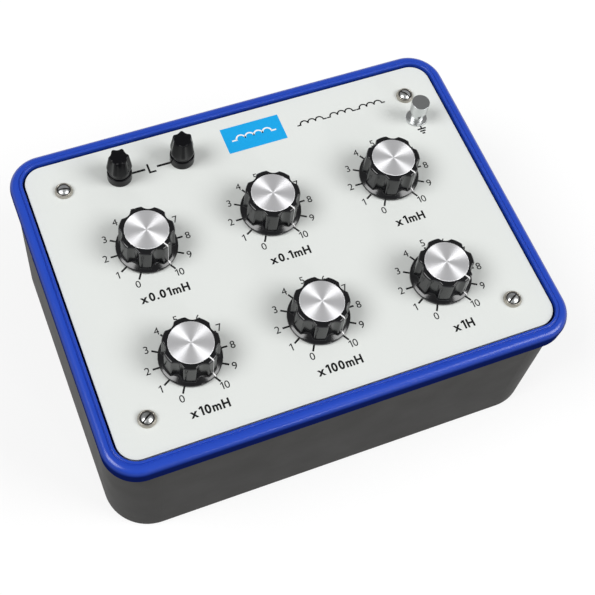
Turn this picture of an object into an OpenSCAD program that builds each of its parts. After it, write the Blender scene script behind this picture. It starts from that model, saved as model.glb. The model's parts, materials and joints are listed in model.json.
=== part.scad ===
// Bench decade box for inductance: six rotary decades on a raised light panel in a blue frame.
// The frame and panel close a grey case that rests flat. Units are mm. Z is up and Z 0 is the
// underside of the case. X runs along the long side and +Y is the terminal side.

/* [Frame] */
// Outside width of the frame
frame_w = 256; // [236:1:300]
// Outside depth of the frame
frame_d = 193; // [176:1:230]
// Corner radius of the frame, outside
frame_corner_r = 19; // [16:0.5:24]
// Width of the frame from the panel opening to its outer face
rim_w = 8; // [7:0.25:10]
// Rise of the inner lip above the panel
lip_rise = 1.8; // [1:0.1:3]
// Width of the flat on the inner lip
lip_w = 2.4; // [1.5:0.1:3]
// Outward lean of the lip's inner face
lip_lean = 1; // [0.4:0.1:1.4]
// Drop from the lip to the outer band
band_drop = 0.8; // [0.4:0.1:1.2]
// Radius of the outer top edge
band_r = 3.4; // [1:0.1:3.8]
// Depth of the frame below the panel's face
frame_skirt = 10; // [8:0.5:14]
// Inward lean of the outer face over its depth
frame_draft = 0.4; // [0:0.1:1]
// Depth of the ledge that carries the panel
ledge_w = 4; // [3:0.5:6]
// Thickness of the ledge and of the corner lugs
ledge_t = 2.5; // [2:0.25:4]
// Radius of a corner lug around its screw
lug_r = 8; // [6.5:0.5:10]
// Depth of the locating tongue below the frame
tongue_h = 4; // [3:0.5:6]
// Thickness of the locating tongue
tongue_t = 2; // [1.5:0.25:3]
// Gap between the tongue and the case wall
tongue_gap = 0.3; // [0.2:0.05:0.5]

/* [Case] */
// Height of the panel's face above the underside
panel_z = 89; // [84:1:120]
// How far the frame stands out past the case wall
overhang = 1.3; // [0.5:0.1:3]
// Corner radius of the case, outside
case_corner_r = 25; // [23:0.5:30]
// Thickness of the case wall
case_wall = 2.5; // [2:0.25:4]
// Thickness of the case floor
case_floor = 2.5; // [2:0.25:5]
// Draft of the case wall from top to bottom
case_draft = 0.6; // [0:0.1:2]
// Radius of the lower outside edge
case_edge_r = 2.2; // [1:0.1:3]
// Radius of a corner pillar
pillar_r = 5; // [4.5:0.25:7]
// Thickness of the ribs that tie a pillar to the walls
rib_t = 2.5; // [1.5:0.25:4]
// Drop of the ribs below the top of the case wall
rib_drop = 9; // [7:0.5:30]

/* [Panel] */
// Thickness of the panel
panel_t = 3; // [2:0.25:4]
// Gap between the panel's edge and the frame
panel_gap = 0.3; // [0.2:0.05:0.5]
// Distance of the panel screws from the outside of the frame
screw_inset = 27; // [25.5:0.25:28.5]
// Distance of the outer knobs from the side of the frame
knob_inset_x = 58; // [56:0.25:61]
// Distance of the front knobs from the front of the frame
knob_inset_y = 51.2; // [50:0.1:53]
// Spacing of the two knob rows as a share of the frame's depth
row_share = 0.3523; // [0.34:0.0001:0.36]

/* [Panel screws] */
// Shank radius of a panel screw
screw_r = 1.75; // [1.5:0.05:2]
// Head radius of a panel screw
screw_head_r = 3.2; // [2.9:0.1:3.4]
// Rise of the domed head over its edge
screw_dome = 1.2; // [0.7:0.1:1.4]
// Length of the shank below the panel's face
screw_len = 13; // [11:0.5:15]
// Width of the driving slot
slot_w = 0.9; // [0.7:0.1:1.2]
// Depth of the driving slot below the top of the head
slot_deep = 1.5; // [1.2:0.1:1.8]
// Radius of a cup washer
cup_r = 4.9; // [4.7:0.1:6]
// Height of a cup washer
cup_h = 2.1; // [1.8:0.1:2.3]
// Radius of the threaded insert in a pillar
insert_r = 3; // [2.6:0.1:3.4]
// Length of the threaded insert
insert_len = 10; // [8:0.5:12]
// Radial clearance of plain holes
hole_gap = 0.3; // [0.2:0.05:0.5]
// Radial clearance of fitted round parts
fit_gap = 0.05; // [0.03:0.01:0.08]
// Gap between the cone of a screw head and its cup washer
cone_gap = 0.1; // [0.05:0.01:0.15]

/* [Knobs] */
// Radius of the knob's skirt
skirt_r = 16.5; // [15.5:0.1:18]
// Height of the skirt's upright edge
skirt_edge = 1.5; // [1:0.1:2.5]
// Height of the sloped part of the skirt
skirt_slope_h = 3; // [2:0.1:4]
// Radius of the grip at its foot
grip_r = 14.9; // [14.2:0.1:15.4]
// Radius lost by the grip up to its top
grip_taper = 0.5; // [0:0.1:1]
// Height of the knob's top ring above the panel
knob_top = 17.9; // [16:0.1:22]
// Gap under the knob's skirt
knob_lift = 0.8; // [0.6:0.1:1.5]
// Chamfer around the top ring
knob_chamfer = 0.7; // [0.3:0.1:1.2]
// Number of lobes on the grip
lobes = 7; // [5:1:9]
// Radius of the cutter for a hollow between lobes
scallop_r = 3.6; // [3:0.1:4.5]
// Depth of a hollow between lobes at the foot
scallop_depth = 2; // [1:0.1:2.2]
// Radius of the turned disc in the knob's top
disc_r = 11.6; // [10:0.1:12]
// Thickness of the turned disc
disc_t = 1; // [0.6:0.1:1.5]
// How far the disc stands above the ring
disc_proud = 0.2; // [0:0.05:0.4]
// Gap around the disc
disc_gap = 0.1; // [0.05:0.01:0.2]
// Width of the pointer groove
pointer_w = 0.9; // [0.6:0.1:1.4]
// Depth of the pointer groove
pointer_depth = 0.25; // [0.15:0.05:0.4]
// Radius of the hollow under the knob
cavity_r = 10; // [9.6:0.1:11]
// Room above the switch nut inside the knob
cavity_room = 0.8; // [0.5:0.1:1.5]
// Radius of a grub screw
grub_r = 1.5; // [1.2:0.1:2]
// Length of a grub screw
grub_len = 6; // [4:0.25:7]
// Depth of the slot in a grub screw
grub_slot = 1.5; // [0.8:0.1:2]
// Height of the grub screw above the panel
grub_z = 9; // [8.5:0.1:11]
// Angle of a pointer at rest, which is the mark ten
pointer_rest = -60; // [-60:0.5:-59]

/* [Switches] */
// Radius of a switch spindle
spindle_r = 3; // [2.8:0.1:3.2]
// Length of the spindle inside the knob above the panel
spindle_up = 14; // [12.5:0.25:15]
// Radius of the threaded bush
bush_r = 4.75; // [4.5:0.05:5]
// Height of the bush above the panel
bush_up = 4; // [3.6:0.1:5]
// Radius of the detent drum
drum_r = 15; // [13:0.5:17]
// Height of the detent drum
drum_h = 9; // [7:0.5:12]
// Radius of the locating peg
peg_r = 1.3; // [1:0.1:1.6]
// Distance of the locating peg from the axis
peg_off = 12; // [11.5:0.25:12.5]
// Width across the flats of the switch nut
nut_af = 14; // [13:0.25:15]
// Height of the switch nut
nut_h = 2.2; // [1.8:0.1:2.6]
// Thickness of the washer under the switch nut
washer_t = 0.8; // [0.5:0.1:1]
// Distance from the drum to the wafer
wafer_drop = 8; // [6:0.5:12]
// Thickness of the wafer
wafer_t = 1.6; // [1.2:0.1:2]
// Radius of the wafer
wafer_r = 16; // [15:0.25:17]
// Radius of the rotor in the wafer
rotor_r = 7.6; // [7:0.1:8]
// Radial gap around the rotor
rotor_gap = 0.3; // [0.2:0.05:0.5]
// Distance of the tie rods from the axis
rod_off = 13.2; // [12.5:0.1:13.4]
// Radius of a tie rod
rod_r = 1.2; // [1:0.1:1.4]
// Radius of a spacer tube on a tie rod
spacer_r = 2; // [1.8:0.05:2.1]
// Thickness of a contact lug
lug_t = 0.4; // [0.3:0.05:0.6]
// Width of a contact lug
contact_w = 2; // [1.6:0.1:2.2]
// Reach of a contact lug past the wafer's edge
contact_reach = 3; // [2.6:0.1:4]
// Number of contact lugs
contacts = 12; // [12:12:24]

/* [Terminals] */
// Distance of the middle of the terminal pair from the left side of the frame
post_inset_x = 76; // [74:0.25:78]
// Spacing of the two terminals
post_pitch = 35.7; // [34:0.1:40]
// Distance of the terminal row from the back of the frame
post_inset_y = 27.5; // [26.5:0.25:29.5]
// Radius of a terminal's collar
collar_r = 6.75; // [6.5:0.05:7.2]
// Height of a terminal's collar
collar_h = 4.4; // [3.8:0.1:5.2]
// Bevel around the top of a collar
collar_edge = 0.9; // [0.4:0.1:1.1]
// Largest radius of a terminal cap
cap_r = 6.9; // [6.7:0.1:7.4]
// Radius of a terminal cap at its top edge
cap_top_r = 5.3; // [5.1:0.1:5.8]
// Radius of a terminal cap at its foot
cap_foot_r = 6; // [5.8:0.05:6.3]
// Height of the plain band at the foot of a terminal cap
cap_foot_h = 2; // [1.4:0.1:2.4]
// Height of the widest part above the foot of a terminal cap
cap_belly = 4.6; // [4.2:0.1:5.4]
// Height of a terminal cap
cap_h = 15; // [13.5:0.1:16.5]
// Number of flutes on a terminal cap
flutes = 6; // [5:1:7]
// Radius of the cutter for a flute
flute_r = 2.2; // [2:0.1:3]
// Depth of a flute
flute_depth = 0.9; // [0.6:0.1:1.1]
// Radius of a terminal stud
stud_r = 2; // [1.8:0.1:2.1]
// Radius of the brass sleeve inside a cap
sleeve_r = 3.5; // [3.2:0.1:3.8]
// Length of the brass sleeve inside a cap
sleeve_len = 8.5; // [8:0.25:9.5]
// Radius of the wire hole through a stud
wire_hole_r = 0.9; // [0.6:0.1:1.1]
// Length of a terminal stud below the panel
stud_down = 9; // [8:0.25:11]
// Width across the flats of a terminal nut
post_nut_af = 8; // [7:0.25:9]
// Height of a terminal nut
post_nut_h = 3; // [2:0.25:4]
// Radius of a solder tag
tag_r = 4.5; // [4:0.1:5]
// Distance of the earth terminal from the right side of the frame
earth_inset_x = 27; // [25:0.25:29]
// Distance of the earth terminal from the back of the frame
earth_inset_y = 43.2; // [41:0.1:46]
// Radius of the earth terminal's flange
earth_flange_r = 6; // [5.6:0.1:6.6]
// Radius of the earth terminal's head
earth_head_r = 5; // [4.6:0.05:5.6]
// Height of the top of the head above the panel
earth_top = 15.3; // [14:0.1:17]
// Height of the head
earth_head_h = 7.5; // [7:0.1:8]
// Radius of the earth terminal's neck
earth_neck_r = 3.75; // [3.6:0.05:4]
// Height of the fixed part of the neck above the panel
earth_neck_h = 4; // [3.5:0.1:4.5]

/* [Inductors] */
// Thickness of the component board
board_t = 1.6; // [1.4:0.1:2.4]
// Height of the floor bosses under the board
boss_h = 8; // [7:0.25:10]
// Radius of a floor boss
boss_r = 4; // [3.5:0.1:5]
// Radius of a ferrite pot core
core_r = 11; // [10:0.25:12]
// Height of a ferrite pot core
core_h = 13.5; // [12:0.5:18]
// Wall of a pot core
core_wall = 2; // [1.6:0.1:2.4]
// Radius of the centre post of a pot core
core_post_r = 4.6; // [4:0.1:5]
// Width of the lead slots in a pot core
core_slot_w = 4; // [3:0.25:5]
// Radius of a wound ring core
ring_r = 11; // [10:0.25:12]
// Radius of the hole in a wound ring core
ring_hole_r = 5; // [4.5:0.25:5.5]
// Height of a wound ring core
ring_h = 10; // [8:0.5:13]
// Gap between neighbouring inductors of a decade
coil_gap = 5; // [4:0.25:6]
// Radius of a clamp bolt
bolt_r = 1.5; // [1.2:0.1:1.7]
// Radius of a hook-up wire
wire_r = 0.6; // [0.4:0.05:0.8]
// Radius of a board pin
pin_r = 0.9; // [0.7:0.1:1.1]
// Height of a board pin above the board
pin_h = 4; // [3:0.5:6]

/* [Hidden] */
$fn = 64;
eps = 0.01;

opening_w = frame_w - 2 * rim_w;
opening_d = frame_d - 2 * rim_w;
opening_r = frame_corner_r - rim_w;
case_w = frame_w - 2 * overhang;
case_d = frame_d - 2 * overhang;
case_top = panel_z - frame_skirt;
panel_low = panel_z - panel_t;
ledge_low = panel_low - ledge_t;
drum_low = panel_low - drum_h;
wafer_top = drum_low - wafer_drop;
wafer_low = wafer_top - wafer_t;
lug_z = wafer_top + lug_t / 2;
floor_lap = 2;
hole_more = 4;
board_low = case_floor + boss_h;
board_top = board_low + board_t;
lug_end = wafer_r + contact_reach;
tap_r = wafer_r + contact_reach / 2;
cup_hole_r = screw_r + 0.2;
cup_foot = 0.2;
collar_top = panel_z + collar_h;
seat_r = sleeve_r + 0.9;
seat_t = 1;
seat_top = collar_top + seat_t;
liner_t = 2;
tag_t = 0.6;
tag_low = panel_low - liner_t - tag_t;
tag_w = 3;
tag_tail = tag_r + 2.9;
cap_gap = 0.3;
cap_low = collar_top + cap_gap;
cap_top = cap_low + cap_h;
knob_pitch_x = frame_w / 2 - knob_inset_x;
knob_pitch_y = frame_d * row_share;
grid_y = knob_inset_y + knob_pitch_y / 2 - frame_d / 2;
post_x = post_inset_x - frame_w / 2;
post_y = frame_d / 2 - post_inset_y;
earth_x = frame_w / 2 - earth_inset_x;
earth_y = frame_d / 2 - earth_inset_y;
coil_r = max(core_r, ring_r);
coil_pitch = 2 * coil_r + coil_gap;
screw_spots = [for (sx = [-1, 1], sy = [-1, 1])
    [sx * (frame_w / 2 - screw_inset), sy * (frame_d / 2 - screw_inset)]];
cap_turns = [2, 8];
screw_turns = [33, -10, 28, -58];
knob_spots = [for (row = [1, -1], col = [-1, 0, 1]) [col * knob_pitch_x, row * knob_pitch_y / 2 + grid_y]];
post_spots = [for (s = [-1, 1]) [post_x + s * post_pitch / 2, post_y]];
coil_spots = [for (sx = [-1, 1], sy = [-1, 1]) [sx * coil_pitch / 2, sy * coil_pitch / 2]];
boss_spots = concat(
    [for (sx = [-1, 1], row = [-1, 1]) [sx * knob_pitch_x / 2, row * knob_pitch_y / 2 + grid_y]],
    [for (sx = [-1, 1]) [sx * (knob_pitch_x + coil_pitch / 2), grid_y]]);

// Flat rounded rectangle from its half sizes
module round_rect(half_w, half_d, r) {
    square([2 * (half_w - r), 2 * half_d], center = true);
    square([2 * half_w, 2 * (half_d - r)], center = true);
    for (sx = [-1, 1], sy = [-1, 1]) translate([sx * (half_w - r), sy * (half_d - r)]) circle(r);
}

// Sweeps a section around a rounded rectangle; the section's X is measured from the corner centre
module sweep_ring(half_w, half_d, r) {
    cx = half_w - r;
    cy = half_d - r;
    for (m = [0, 1]) mirror([m, 0, 0]) {
        translate([cx, cy, 0]) rotate([90, 0, 0]) linear_extrude(2 * cy) children();
        translate([cx, cy, 0]) rotate_extrude(angle = 90) children();
        mirror([0, 1, 0]) translate([cx, cy, 0]) rotate_extrude(angle = 90) children();
    }
    for (m = [0, 1]) mirror([0, m, 0])
        translate([-cx, cy, 0]) rotate([90, 0, 90]) linear_extrude(2 * cx) children();
}

module hex_nut(af, h, hole) {
    difference() {
        cylinder(r = af / 2 / cos(30), h = h, $fn = 6);
        translate([0, 0, -eps]) cylinder(r = hole, h = h + 2 * eps);
    }
}

module tube(r, hole, h) {
    difference() {
        cylinder(r = r, h = h);
        translate([0, 0, -eps]) cylinder(r = hole, h = h + 2 * eps);
    }
}

// Case: swept wall with draft and a rounded lower edge, flat floor, four ribbed pillars
module case_section() {
    r = case_corner_r;
    foot = r - case_draft;
    // The section runs on into the floor, so that wall and floor share a strip
    inner = foot - max(case_edge_r, case_wall) - floor_lap;
    polygon([[inner, 0], [inner, case_floor], [foot - case_wall, case_floor],
        [r - case_wall, case_top], [r, case_top], [foot, case_edge_r], [foot - case_edge_r, case_edge_r],
        [foot - case_edge_r, 0]]);
    intersection() {
        translate([foot - case_edge_r, case_edge_r]) circle(case_edge_r);
        translate([foot - case_edge_r, 0]) square([case_edge_r, case_edge_r]);
    }
}

module lower_case() {
    half_w = case_w / 2;
    half_d = case_d / 2;
    inset = case_draft + case_edge_r;
    rib_top = case_top - rib_drop;
    color("slategray") difference() {
        union() {
            sweep_ring(half_w, half_d, case_corner_r) case_section();
            linear_extrude(case_floor)
                round_rect(half_w - inset, half_d - inset, case_corner_r - inset);
            for (p = screw_spots) {
                sx = sign(p[0]);
                sy = sign(p[1]);
                translate([p[0], p[1], 0]) cylinder(r = pillar_r, h = ledge_low);
                reach_x = half_w - case_draft - case_wall / 2 - abs(p[0]);
                reach_y = half_d - case_draft - case_wall / 2 - abs(p[1]);
                translate([sx > 0 ? p[0] : p[0] - reach_x, p[1] - rib_t / 2, eps])
                    cube([reach_x, rib_t, rib_top]);
                translate([p[0] - rib_t / 2, sy > 0 ? p[1] : p[1] - reach_y, eps])
                    cube([rib_t, reach_y, rib_top]);
            }
            for (p = boss_spots) translate([p[0], p[1], 0]) cylinder(r = boss_r, h = board_low);
        }
        for (p = screw_spots) {
            translate([p[0], p[1], ledge_low - insert_len]) cylinder(r = insert_r + fit_gap, h = insert_len + 1);
            translate([p[0], p[1], ledge_low - insert_len - hole_more])
                cylinder(r = screw_r + hole_gap, h = hole_more + 1);
        }
        for (p = boss_spots) translate([p[0], p[1], case_floor]) cylinder(r = bolt_r + fit_gap, h = boss_h + 1);
    }
}

module threaded_inserts() {
    color("goldenrod") for (p = screw_spots) translate([p[0], p[1], ledge_low - insert_len])
        tube(insert_r, screw_r + fit_gap, insert_len);
}

// Frame: one swept section with the panel ledge, the stepped lip and the rounded outer edge
module frame_section() {
    r = frame_corner_r;
    open_x = r - rim_w;
    band_z = panel_z + lip_rise - band_drop;
    lip_x = open_x + lip_lean;
    polygon([[open_x - ledge_w, ledge_low], [open_x - ledge_w, panel_low], [open_x, panel_low],
        [open_x, panel_z], [lip_x, panel_z + lip_rise], [lip_x + lip_w, panel_z + lip_rise],
        [lip_x + lip_w + band_drop / 3, band_z], [r - band_r, band_z], [r - band_r, band_z - band_r],
        [r, band_z - band_r], [r - frame_draft, case_top], [open_x + 1.5, case_top],
        [open_x + 1.5, ledge_low]]);
    intersection() {
        translate([r - band_r, band_z - band_r]) circle(band_r);
        translate([r - band_r, band_z - band_r]) square(band_r);
    }
}

module bezel_frame() {
    tongue_r = case_corner_r - case_wall - tongue_gap;
    color("royalblue") difference() {
        union() {
            sweep_ring(frame_w / 2, frame_d / 2, frame_corner_r) frame_section();
            translate([0, 0, case_top - tongue_h]) linear_extrude(ledge_low + ledge_t / 2 - case_top + tongue_h)
                difference() {
                    round_rect(case_w / 2 - case_wall - tongue_gap, case_d / 2 - case_wall - tongue_gap, tongue_r);
                    round_rect(case_w / 2 - case_wall - tongue_gap - tongue_t,
                        case_d / 2 - case_wall - tongue_gap - tongue_t, tongue_r - tongue_t);
                }
            for (p = screw_spots) {
                sx = sign(p[0]);
                sy = sign(p[1]);
                reach_x = opening_w / 2 - ledge_w / 2 - abs(p[0]);
                reach_y = opening_d / 2 - ledge_w / 2 - abs(p[1]);
                translate([p[0], p[1], ledge_low]) cylinder(r = lug_r, h = ledge_t);
                translate([p[0], p[1], ledge_low]) mirror([sx < 0 ? 1 : 0, 0, 0]) mirror([0, sy < 0 ? 1 : 0, 0]) {
                    translate([0, -lug_r, 0]) cube([reach_x, lug_r + reach_y, ledge_t]);
                    translate([-lug_r, 0, 0]) cube([lug_r + reach_x, reach_y, ledge_t]);
                }
            }
        }
        for (p = screw_spots) translate([p[0], p[1], ledge_low - 1])
            cylinder(r = screw_r + hole_gap, h = ledge_t + 2);
    }
}

module front_panel() {
    color("gainsboro") difference() {
        translate([0, 0, panel_low]) linear_extrude(panel_t)
            round_rect(opening_w / 2 - panel_gap, opening_d / 2 - panel_gap, opening_r - panel_gap);
        for (p = screw_spots) translate([p[0], p[1], panel_low - 1]) cylinder(r = screw_r + hole_gap, h = panel_t + 2);
        for (p = knob_spots) translate([p[0], p[1], panel_low - 1]) {
            cylinder(r = bush_r + hole_gap, h = panel_t + 2);
            translate([0, peg_off, 0]) cylinder(r = peg_r + hole_gap, h = panel_t + 2);
        }
        for (p = post_spots) translate([p[0], p[1], panel_low - 1]) cylinder(r = stud_r + 2 + hole_gap, h = panel_t + 2);
        translate([earth_x, earth_y, panel_low - 1]) cylinder(r = stud_r + hole_gap, h = panel_t + 2);
    }
}

module cup_washers() {
    rise = cup_h - cup_foot;
    color("silver") for (p = screw_spots) translate([p[0], p[1], panel_z]) rotate_extrude()
        polygon([[cup_hole_r, 0], [cup_r, 0], [cup_r, 0.4], [cup_hole_r + rise + 0.35, cup_h],
            [cup_hole_r + rise, cup_h], [cup_hole_r, cup_foot]]);
}

module panel_screws() {
    // The head's cone runs beside the washer's cone at the named gap
    low = cup_foot - (cup_hole_r - screw_r) + cone_gap * sqrt(2);
    edge = low + screw_head_r - screw_r;
    dome_r = (screw_head_r * screw_head_r + screw_dome * screw_dome) / (2 * screw_dome);
    color("lightgray") for (i = [0 : len(screw_spots) - 1])
        translate([screw_spots[i][0], screw_spots[i][1], panel_z]) difference() {
            union() {
                translate([0, 0, -screw_len]) cylinder(r = screw_r, h = screw_len + low + eps);
                translate([0, 0, low]) cylinder(r1 = screw_r, r2 = screw_head_r, h = screw_head_r - screw_r);
                intersection() {
                    translate([0, 0, edge + screw_dome - dome_r]) sphere(dome_r);
                    translate([0, 0, edge - eps]) cylinder(r = screw_head_r, h = screw_dome + 1);
                }
            }
            rotate([0, 0, screw_turns[i]]) translate([-cup_r, -slot_w / 2, edge + screw_dome - slot_deep])
                cube([2 * cup_r, slot_w, slot_deep + hole_more]);
        }
}

// Switches: detent drum with its threaded bush, nut and washer above the panel, wafer below
module switch_drums() {
    color("dimgray") for (p = knob_spots) translate([p[0], p[1], 0]) difference() {
        union() {
            translate([0, 0, drum_low]) cylinder(r = drum_r, h = drum_h - 1);
            translate([0, 0, drum_low + drum_h - 1 - eps]) cylinder(r = drum_r - 1, h = 1 + eps);
            translate([0, 0, panel_low - eps]) cylinder(r = bush_r, h = panel_t + bush_up + eps);
            translate([0, peg_off, panel_low - eps]) cylinder(r = peg_r, h = panel_t * 0.6);
        }
        translate([0, 0, drum_low - 1]) cylinder(r = spindle_r + fit_gap, h = drum_h + panel_t + bush_up + 2);
    }
}

module switch_washers() {
    color("silver") for (p = knob_spots) translate([p[0], p[1], panel_z])
        tube(nut_af / 2 + 0.8, bush_r + fit_gap, washer_t);
}

module switch_nuts() {
    color("silver") for (p = knob_spots) translate([p[0], p[1], panel_z + washer_t])
        hex_nut(nut_af, nut_h, bush_r + fit_gap);
}

module switch_wafers() {
    color("peru") for (p = knob_spots) translate([p[0], p[1], wafer_low]) difference() {
        cylinder(r = wafer_r, h = wafer_t);
        translate([0, 0, -1]) cylinder(r = rotor_r + rotor_gap, h = wafer_t + 2);
        for (a = [15, 195]) rotate([0, 0, a]) translate([rod_off, 0, -1]) cylinder(r = rod_r + fit_gap, h = wafer_t + 2);
        for (i = [0:contacts - 1]) rotate([0, 0, i * 360 / contacts]) translate([wafer_r - 3.5, 0, -1])
            cylinder(r = contact_w / 2 - 0.2, h = wafer_t + 2);
    }
}

module switch_rods() {
    color("silver") for (p = knob_spots, a = [15, 195]) translate([p[0], p[1], 0]) rotate([0, 0, a])
        translate([rod_off, 0, 0]) {
            translate([0, 0, wafer_top]) cylinder(r = spacer_r, h = wafer_drop);
            translate([0, 0, wafer_low - 3]) cylinder(r = rod_r, h = wafer_t + 3 + eps);
            translate([0, 0, wafer_low - 1.8]) cylinder(r = spacer_r, h = 1.8, $fn = 6);
        }
}

module switch_lugs() {
    inner = rotor_r + rotor_gap + 0.4;
    color("lightgray") for (p = knob_spots, i = [0:contacts - 1]) translate([p[0], p[1], 0])
        rotate([0, 0, i * 360 / contacts]) {
            translate([inner, -contact_w / 2, wafer_top]) cube([lug_end - inner, contact_w, lug_t]);
            translate([wafer_r - 3.5, 0, wafer_low - 0.4]) cylinder(r = contact_w / 2 - 0.2 - fit_gap, h = wafer_t + 0.4 + eps);
            translate([wafer_r - 3.5, 0, wafer_low - 0.4]) cylinder(r = contact_w / 2, h = 0.4);
        }
}

module spindle(p) {
    translate([p[0], p[1], 0]) difference() {
        union() {
            translate([0, 0, wafer_low - 3]) cylinder(r = spindle_r, h = panel_z + spindle_up - wafer_low + 2.5);
            translate([0, 0, panel_z + spindle_up - 0.5 - eps]) cylinder(r1 = spindle_r, r2 = spindle_r - 0.5, h = 0.5 + eps);
            translate([0, 0, wafer_low]) cylinder(r = rotor_r, h = wafer_t);
        }
        // Flat for the grub screw
        rotate([0, 0, pointer_rest + 180]) translate([spindle_r - 0.5, -spindle_r, panel_z + bush_up + 0.5])
            cube([2, 2 * spindle_r, spindle_up]);
    }
}

// Knobs: skirted and lobed grip, turned disc in the top, grub screw behind the pointer
module knob_outline() {
    low = knob_lift;
    edge = low + skirt_edge;
    polygon([[0, low], [skirt_r - 0.3, low], [skirt_r, low + 0.3], [skirt_r, edge],
        [skirt_r - skirt_slope_h, edge + skirt_slope_h], [0, edge + skirt_slope_h]]);
}

module grip_outline() {
    foot = knob_lift + skirt_edge;
    top_r = grip_r - grip_taper;
    polygon([[0, foot], [grip_r, foot], [top_r, knob_top - knob_chamfer],
        [top_r - knob_chamfer, knob_top], [0, knob_top]]);
}

module knob_core() {
    rotate_extrude() knob_outline();
    difference() {
        rotate_extrude() grip_outline();
        for (i = [0:lobes - 1]) rotate([0, 0, (i + 0.5) * 360 / lobes])
            translate([grip_r - scallop_depth + scallop_r, 0, 0]) cylinder(r = scallop_r, h = knob_top + 1);
    }
}

// The groove follows the radial outline of the knob at one depth
module pointer_groove() {
    inner = disc_r + disc_gap + 0.4;
    rotate([90, 0, 0]) translate([0, 0, -pointer_w / 2]) linear_extrude(pointer_w) difference() {
        translate([inner, knob_lift - 1]) square([skirt_r - inner + 2, knob_top + 3]);
        translate([-pointer_depth, -pointer_depth]) { knob_outline(); grip_outline(); }
        square([skirt_r - pointer_depth, knob_lift + 1]);
    }
}

module knob(p) {
    bore_top = spindle_up + 0.6;
    cavity_top = max(bush_up, washer_t + nut_h) + cavity_room;
    color("black") translate([p[0], p[1], panel_z]) rotate([0, 0, pointer_rest]) difference() {
        knob_core();
        translate([0, 0, knob_lift - 1]) cylinder(r = cavity_r, h = cavity_top - knob_lift + 1);
        cylinder(r = spindle_r + fit_gap, h = bore_top);
        translate([0, 0, knob_top - disc_t + disc_proud]) cylinder(r = disc_r + disc_gap, h = disc_t + 2);
        translate([-grip_r, 0, grub_z]) rotate([0, 90, 0]) cylinder(r = grub_r + fit_gap, h = grip_r - spindle_r / 2);
        pointer_groove();
    }
}

module knob_disc(p) {
    top = knob_top + disc_proud;
    color("silver") translate([p[0], p[1], panel_z]) rotate_extrude()
        polygon([[0, top - disc_t], [disc_r, top - disc_t], [disc_r, top - 0.2], [disc_r - 0.2, top], [0, top]]);
}

module knob_grub(p) {
    flat = spindle_r - 0.5;
    color("gray") translate([p[0], p[1], panel_z + grub_z]) rotate([0, 0, pointer_rest + 180]) difference() {
        translate([flat, 0, 0]) rotate([0, 90, 0]) cylinder(r = grub_r, h = grub_len);
        translate([flat + grub_len - grub_slot, -0.3, -grub_r - 1]) cube([grub_slot + 1, 0.6, 2 * grub_r + 2]);
    }
}

// Line terminals: insulating collar, stud with a wire hole, brass sleeve and fluted cap
module terminal_collars() {
    color("black") for (p = post_spots) translate([p[0], p[1], 0]) {
        difference() {
            union() {
                translate([0, 0, panel_z]) cylinder(r = collar_r, h = collar_h - collar_edge);
                translate([0, 0, collar_top - collar_edge - eps])
                    cylinder(r1 = collar_r, r2 = collar_r - collar_edge, h = collar_edge + eps);
                translate([0, 0, panel_low]) cylinder(r = stud_r + 2, h = panel_t + eps);
            }
            translate([0, 0, panel_low - 1]) cylinder(r = stud_r + fit_gap, h = panel_t + collar_h + 2);
        }
        translate([0, 0, panel_low - liner_t]) tube(collar_r, stud_r + fit_gap, liner_t);
    }
}

module terminal_studs() {
    color("goldenrod") for (p = post_spots) translate([p[0], p[1], 0]) difference() {
        union() {
            translate([0, 0, panel_low - stud_down])
                cylinder(r = stud_r, h = seat_top - panel_low + stud_down + sleeve_len);
            translate([0, 0, collar_top]) cylinder(r = seat_r, h = seat_t);
        }
        translate([0, -stud_r - 1, seat_top + wire_hole_r + 0.6]) rotate([-90, 0, 0])
            cylinder(r = wire_hole_r, h = 2 * stud_r + 2);
    }
}

module terminal_nuts() {
    color("silver") {
        for (p = post_spots) translate([p[0], p[1], tag_low - post_nut_h])
            hex_nut(post_nut_af, post_nut_h, stud_r + fit_gap);
        translate([earth_x, earth_y, panel_low - tag_t - post_nut_h])
            hex_nut(post_nut_af, post_nut_h, stud_r + fit_gap);
    }
}

// Solder tags between the nut and the panel side, with a tail that takes the wire
module terminal_tags() {
    color("lightgray") {
        for (p = post_spots) translate([p[0], p[1], tag_low]) {
            tube(tag_r, stud_r + fit_gap, tag_t);
            translate([tag_r - 0.9, -tag_w / 2, 0]) cube([tag_tail + 2.5 - tag_r, tag_w, tag_t]);
        }
        translate([earth_x, earth_y, panel_low - tag_t]) tube(tag_r, stud_r + fit_gap, tag_t);
    }
}

module cap_sleeve(p) {
    color("goldenrod") translate([p[0], p[1], seat_top]) tube(sleeve_r, stud_r + fit_gap, sleeve_len);
}

module terminal_cap(p, turn) {
    lean = atan((cap_r - cap_top_r) / (cap_h - cap_belly));
    color("black") translate([p[0], p[1], cap_low]) rotate([0, 0, turn]) difference() {
        rotate_extrude() polygon([[0, 0], [cap_foot_r, 0], [cap_foot_r, cap_foot_h],
            [cap_r - 0.4, cap_foot_h + 0.9], [cap_r, cap_belly], [cap_top_r, cap_h - 0.8],
            [cap_top_r - 0.9, cap_h], [1.6, cap_h - 0.5], [0, cap_h - 0.5]]);
        for (i = [0:flutes - 1]) rotate([0, 0, i * 360 / flutes - 90])
            translate([cap_r - flute_depth + flute_r, 0, cap_belly]) rotate([0, -lean, 0])
                translate([0, 0, cap_foot_h - cap_belly]) cylinder(r = flute_r, h = cap_h + 2);
        translate([0, 0, -1]) cylinder(r = seat_r + 0.3, h = 1 + seat_top - cap_low);
        translate([0, 0, -1]) cylinder(r = sleeve_r + fit_gap, h = 1 + seat_top - cap_low + sleeve_len + 0.1);
        translate([0, 0, -1]) cylinder(r = stud_r + 0.3, h = 1 + seat_top - cap_low + sleeve_len + 0.6);
    }
}

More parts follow.
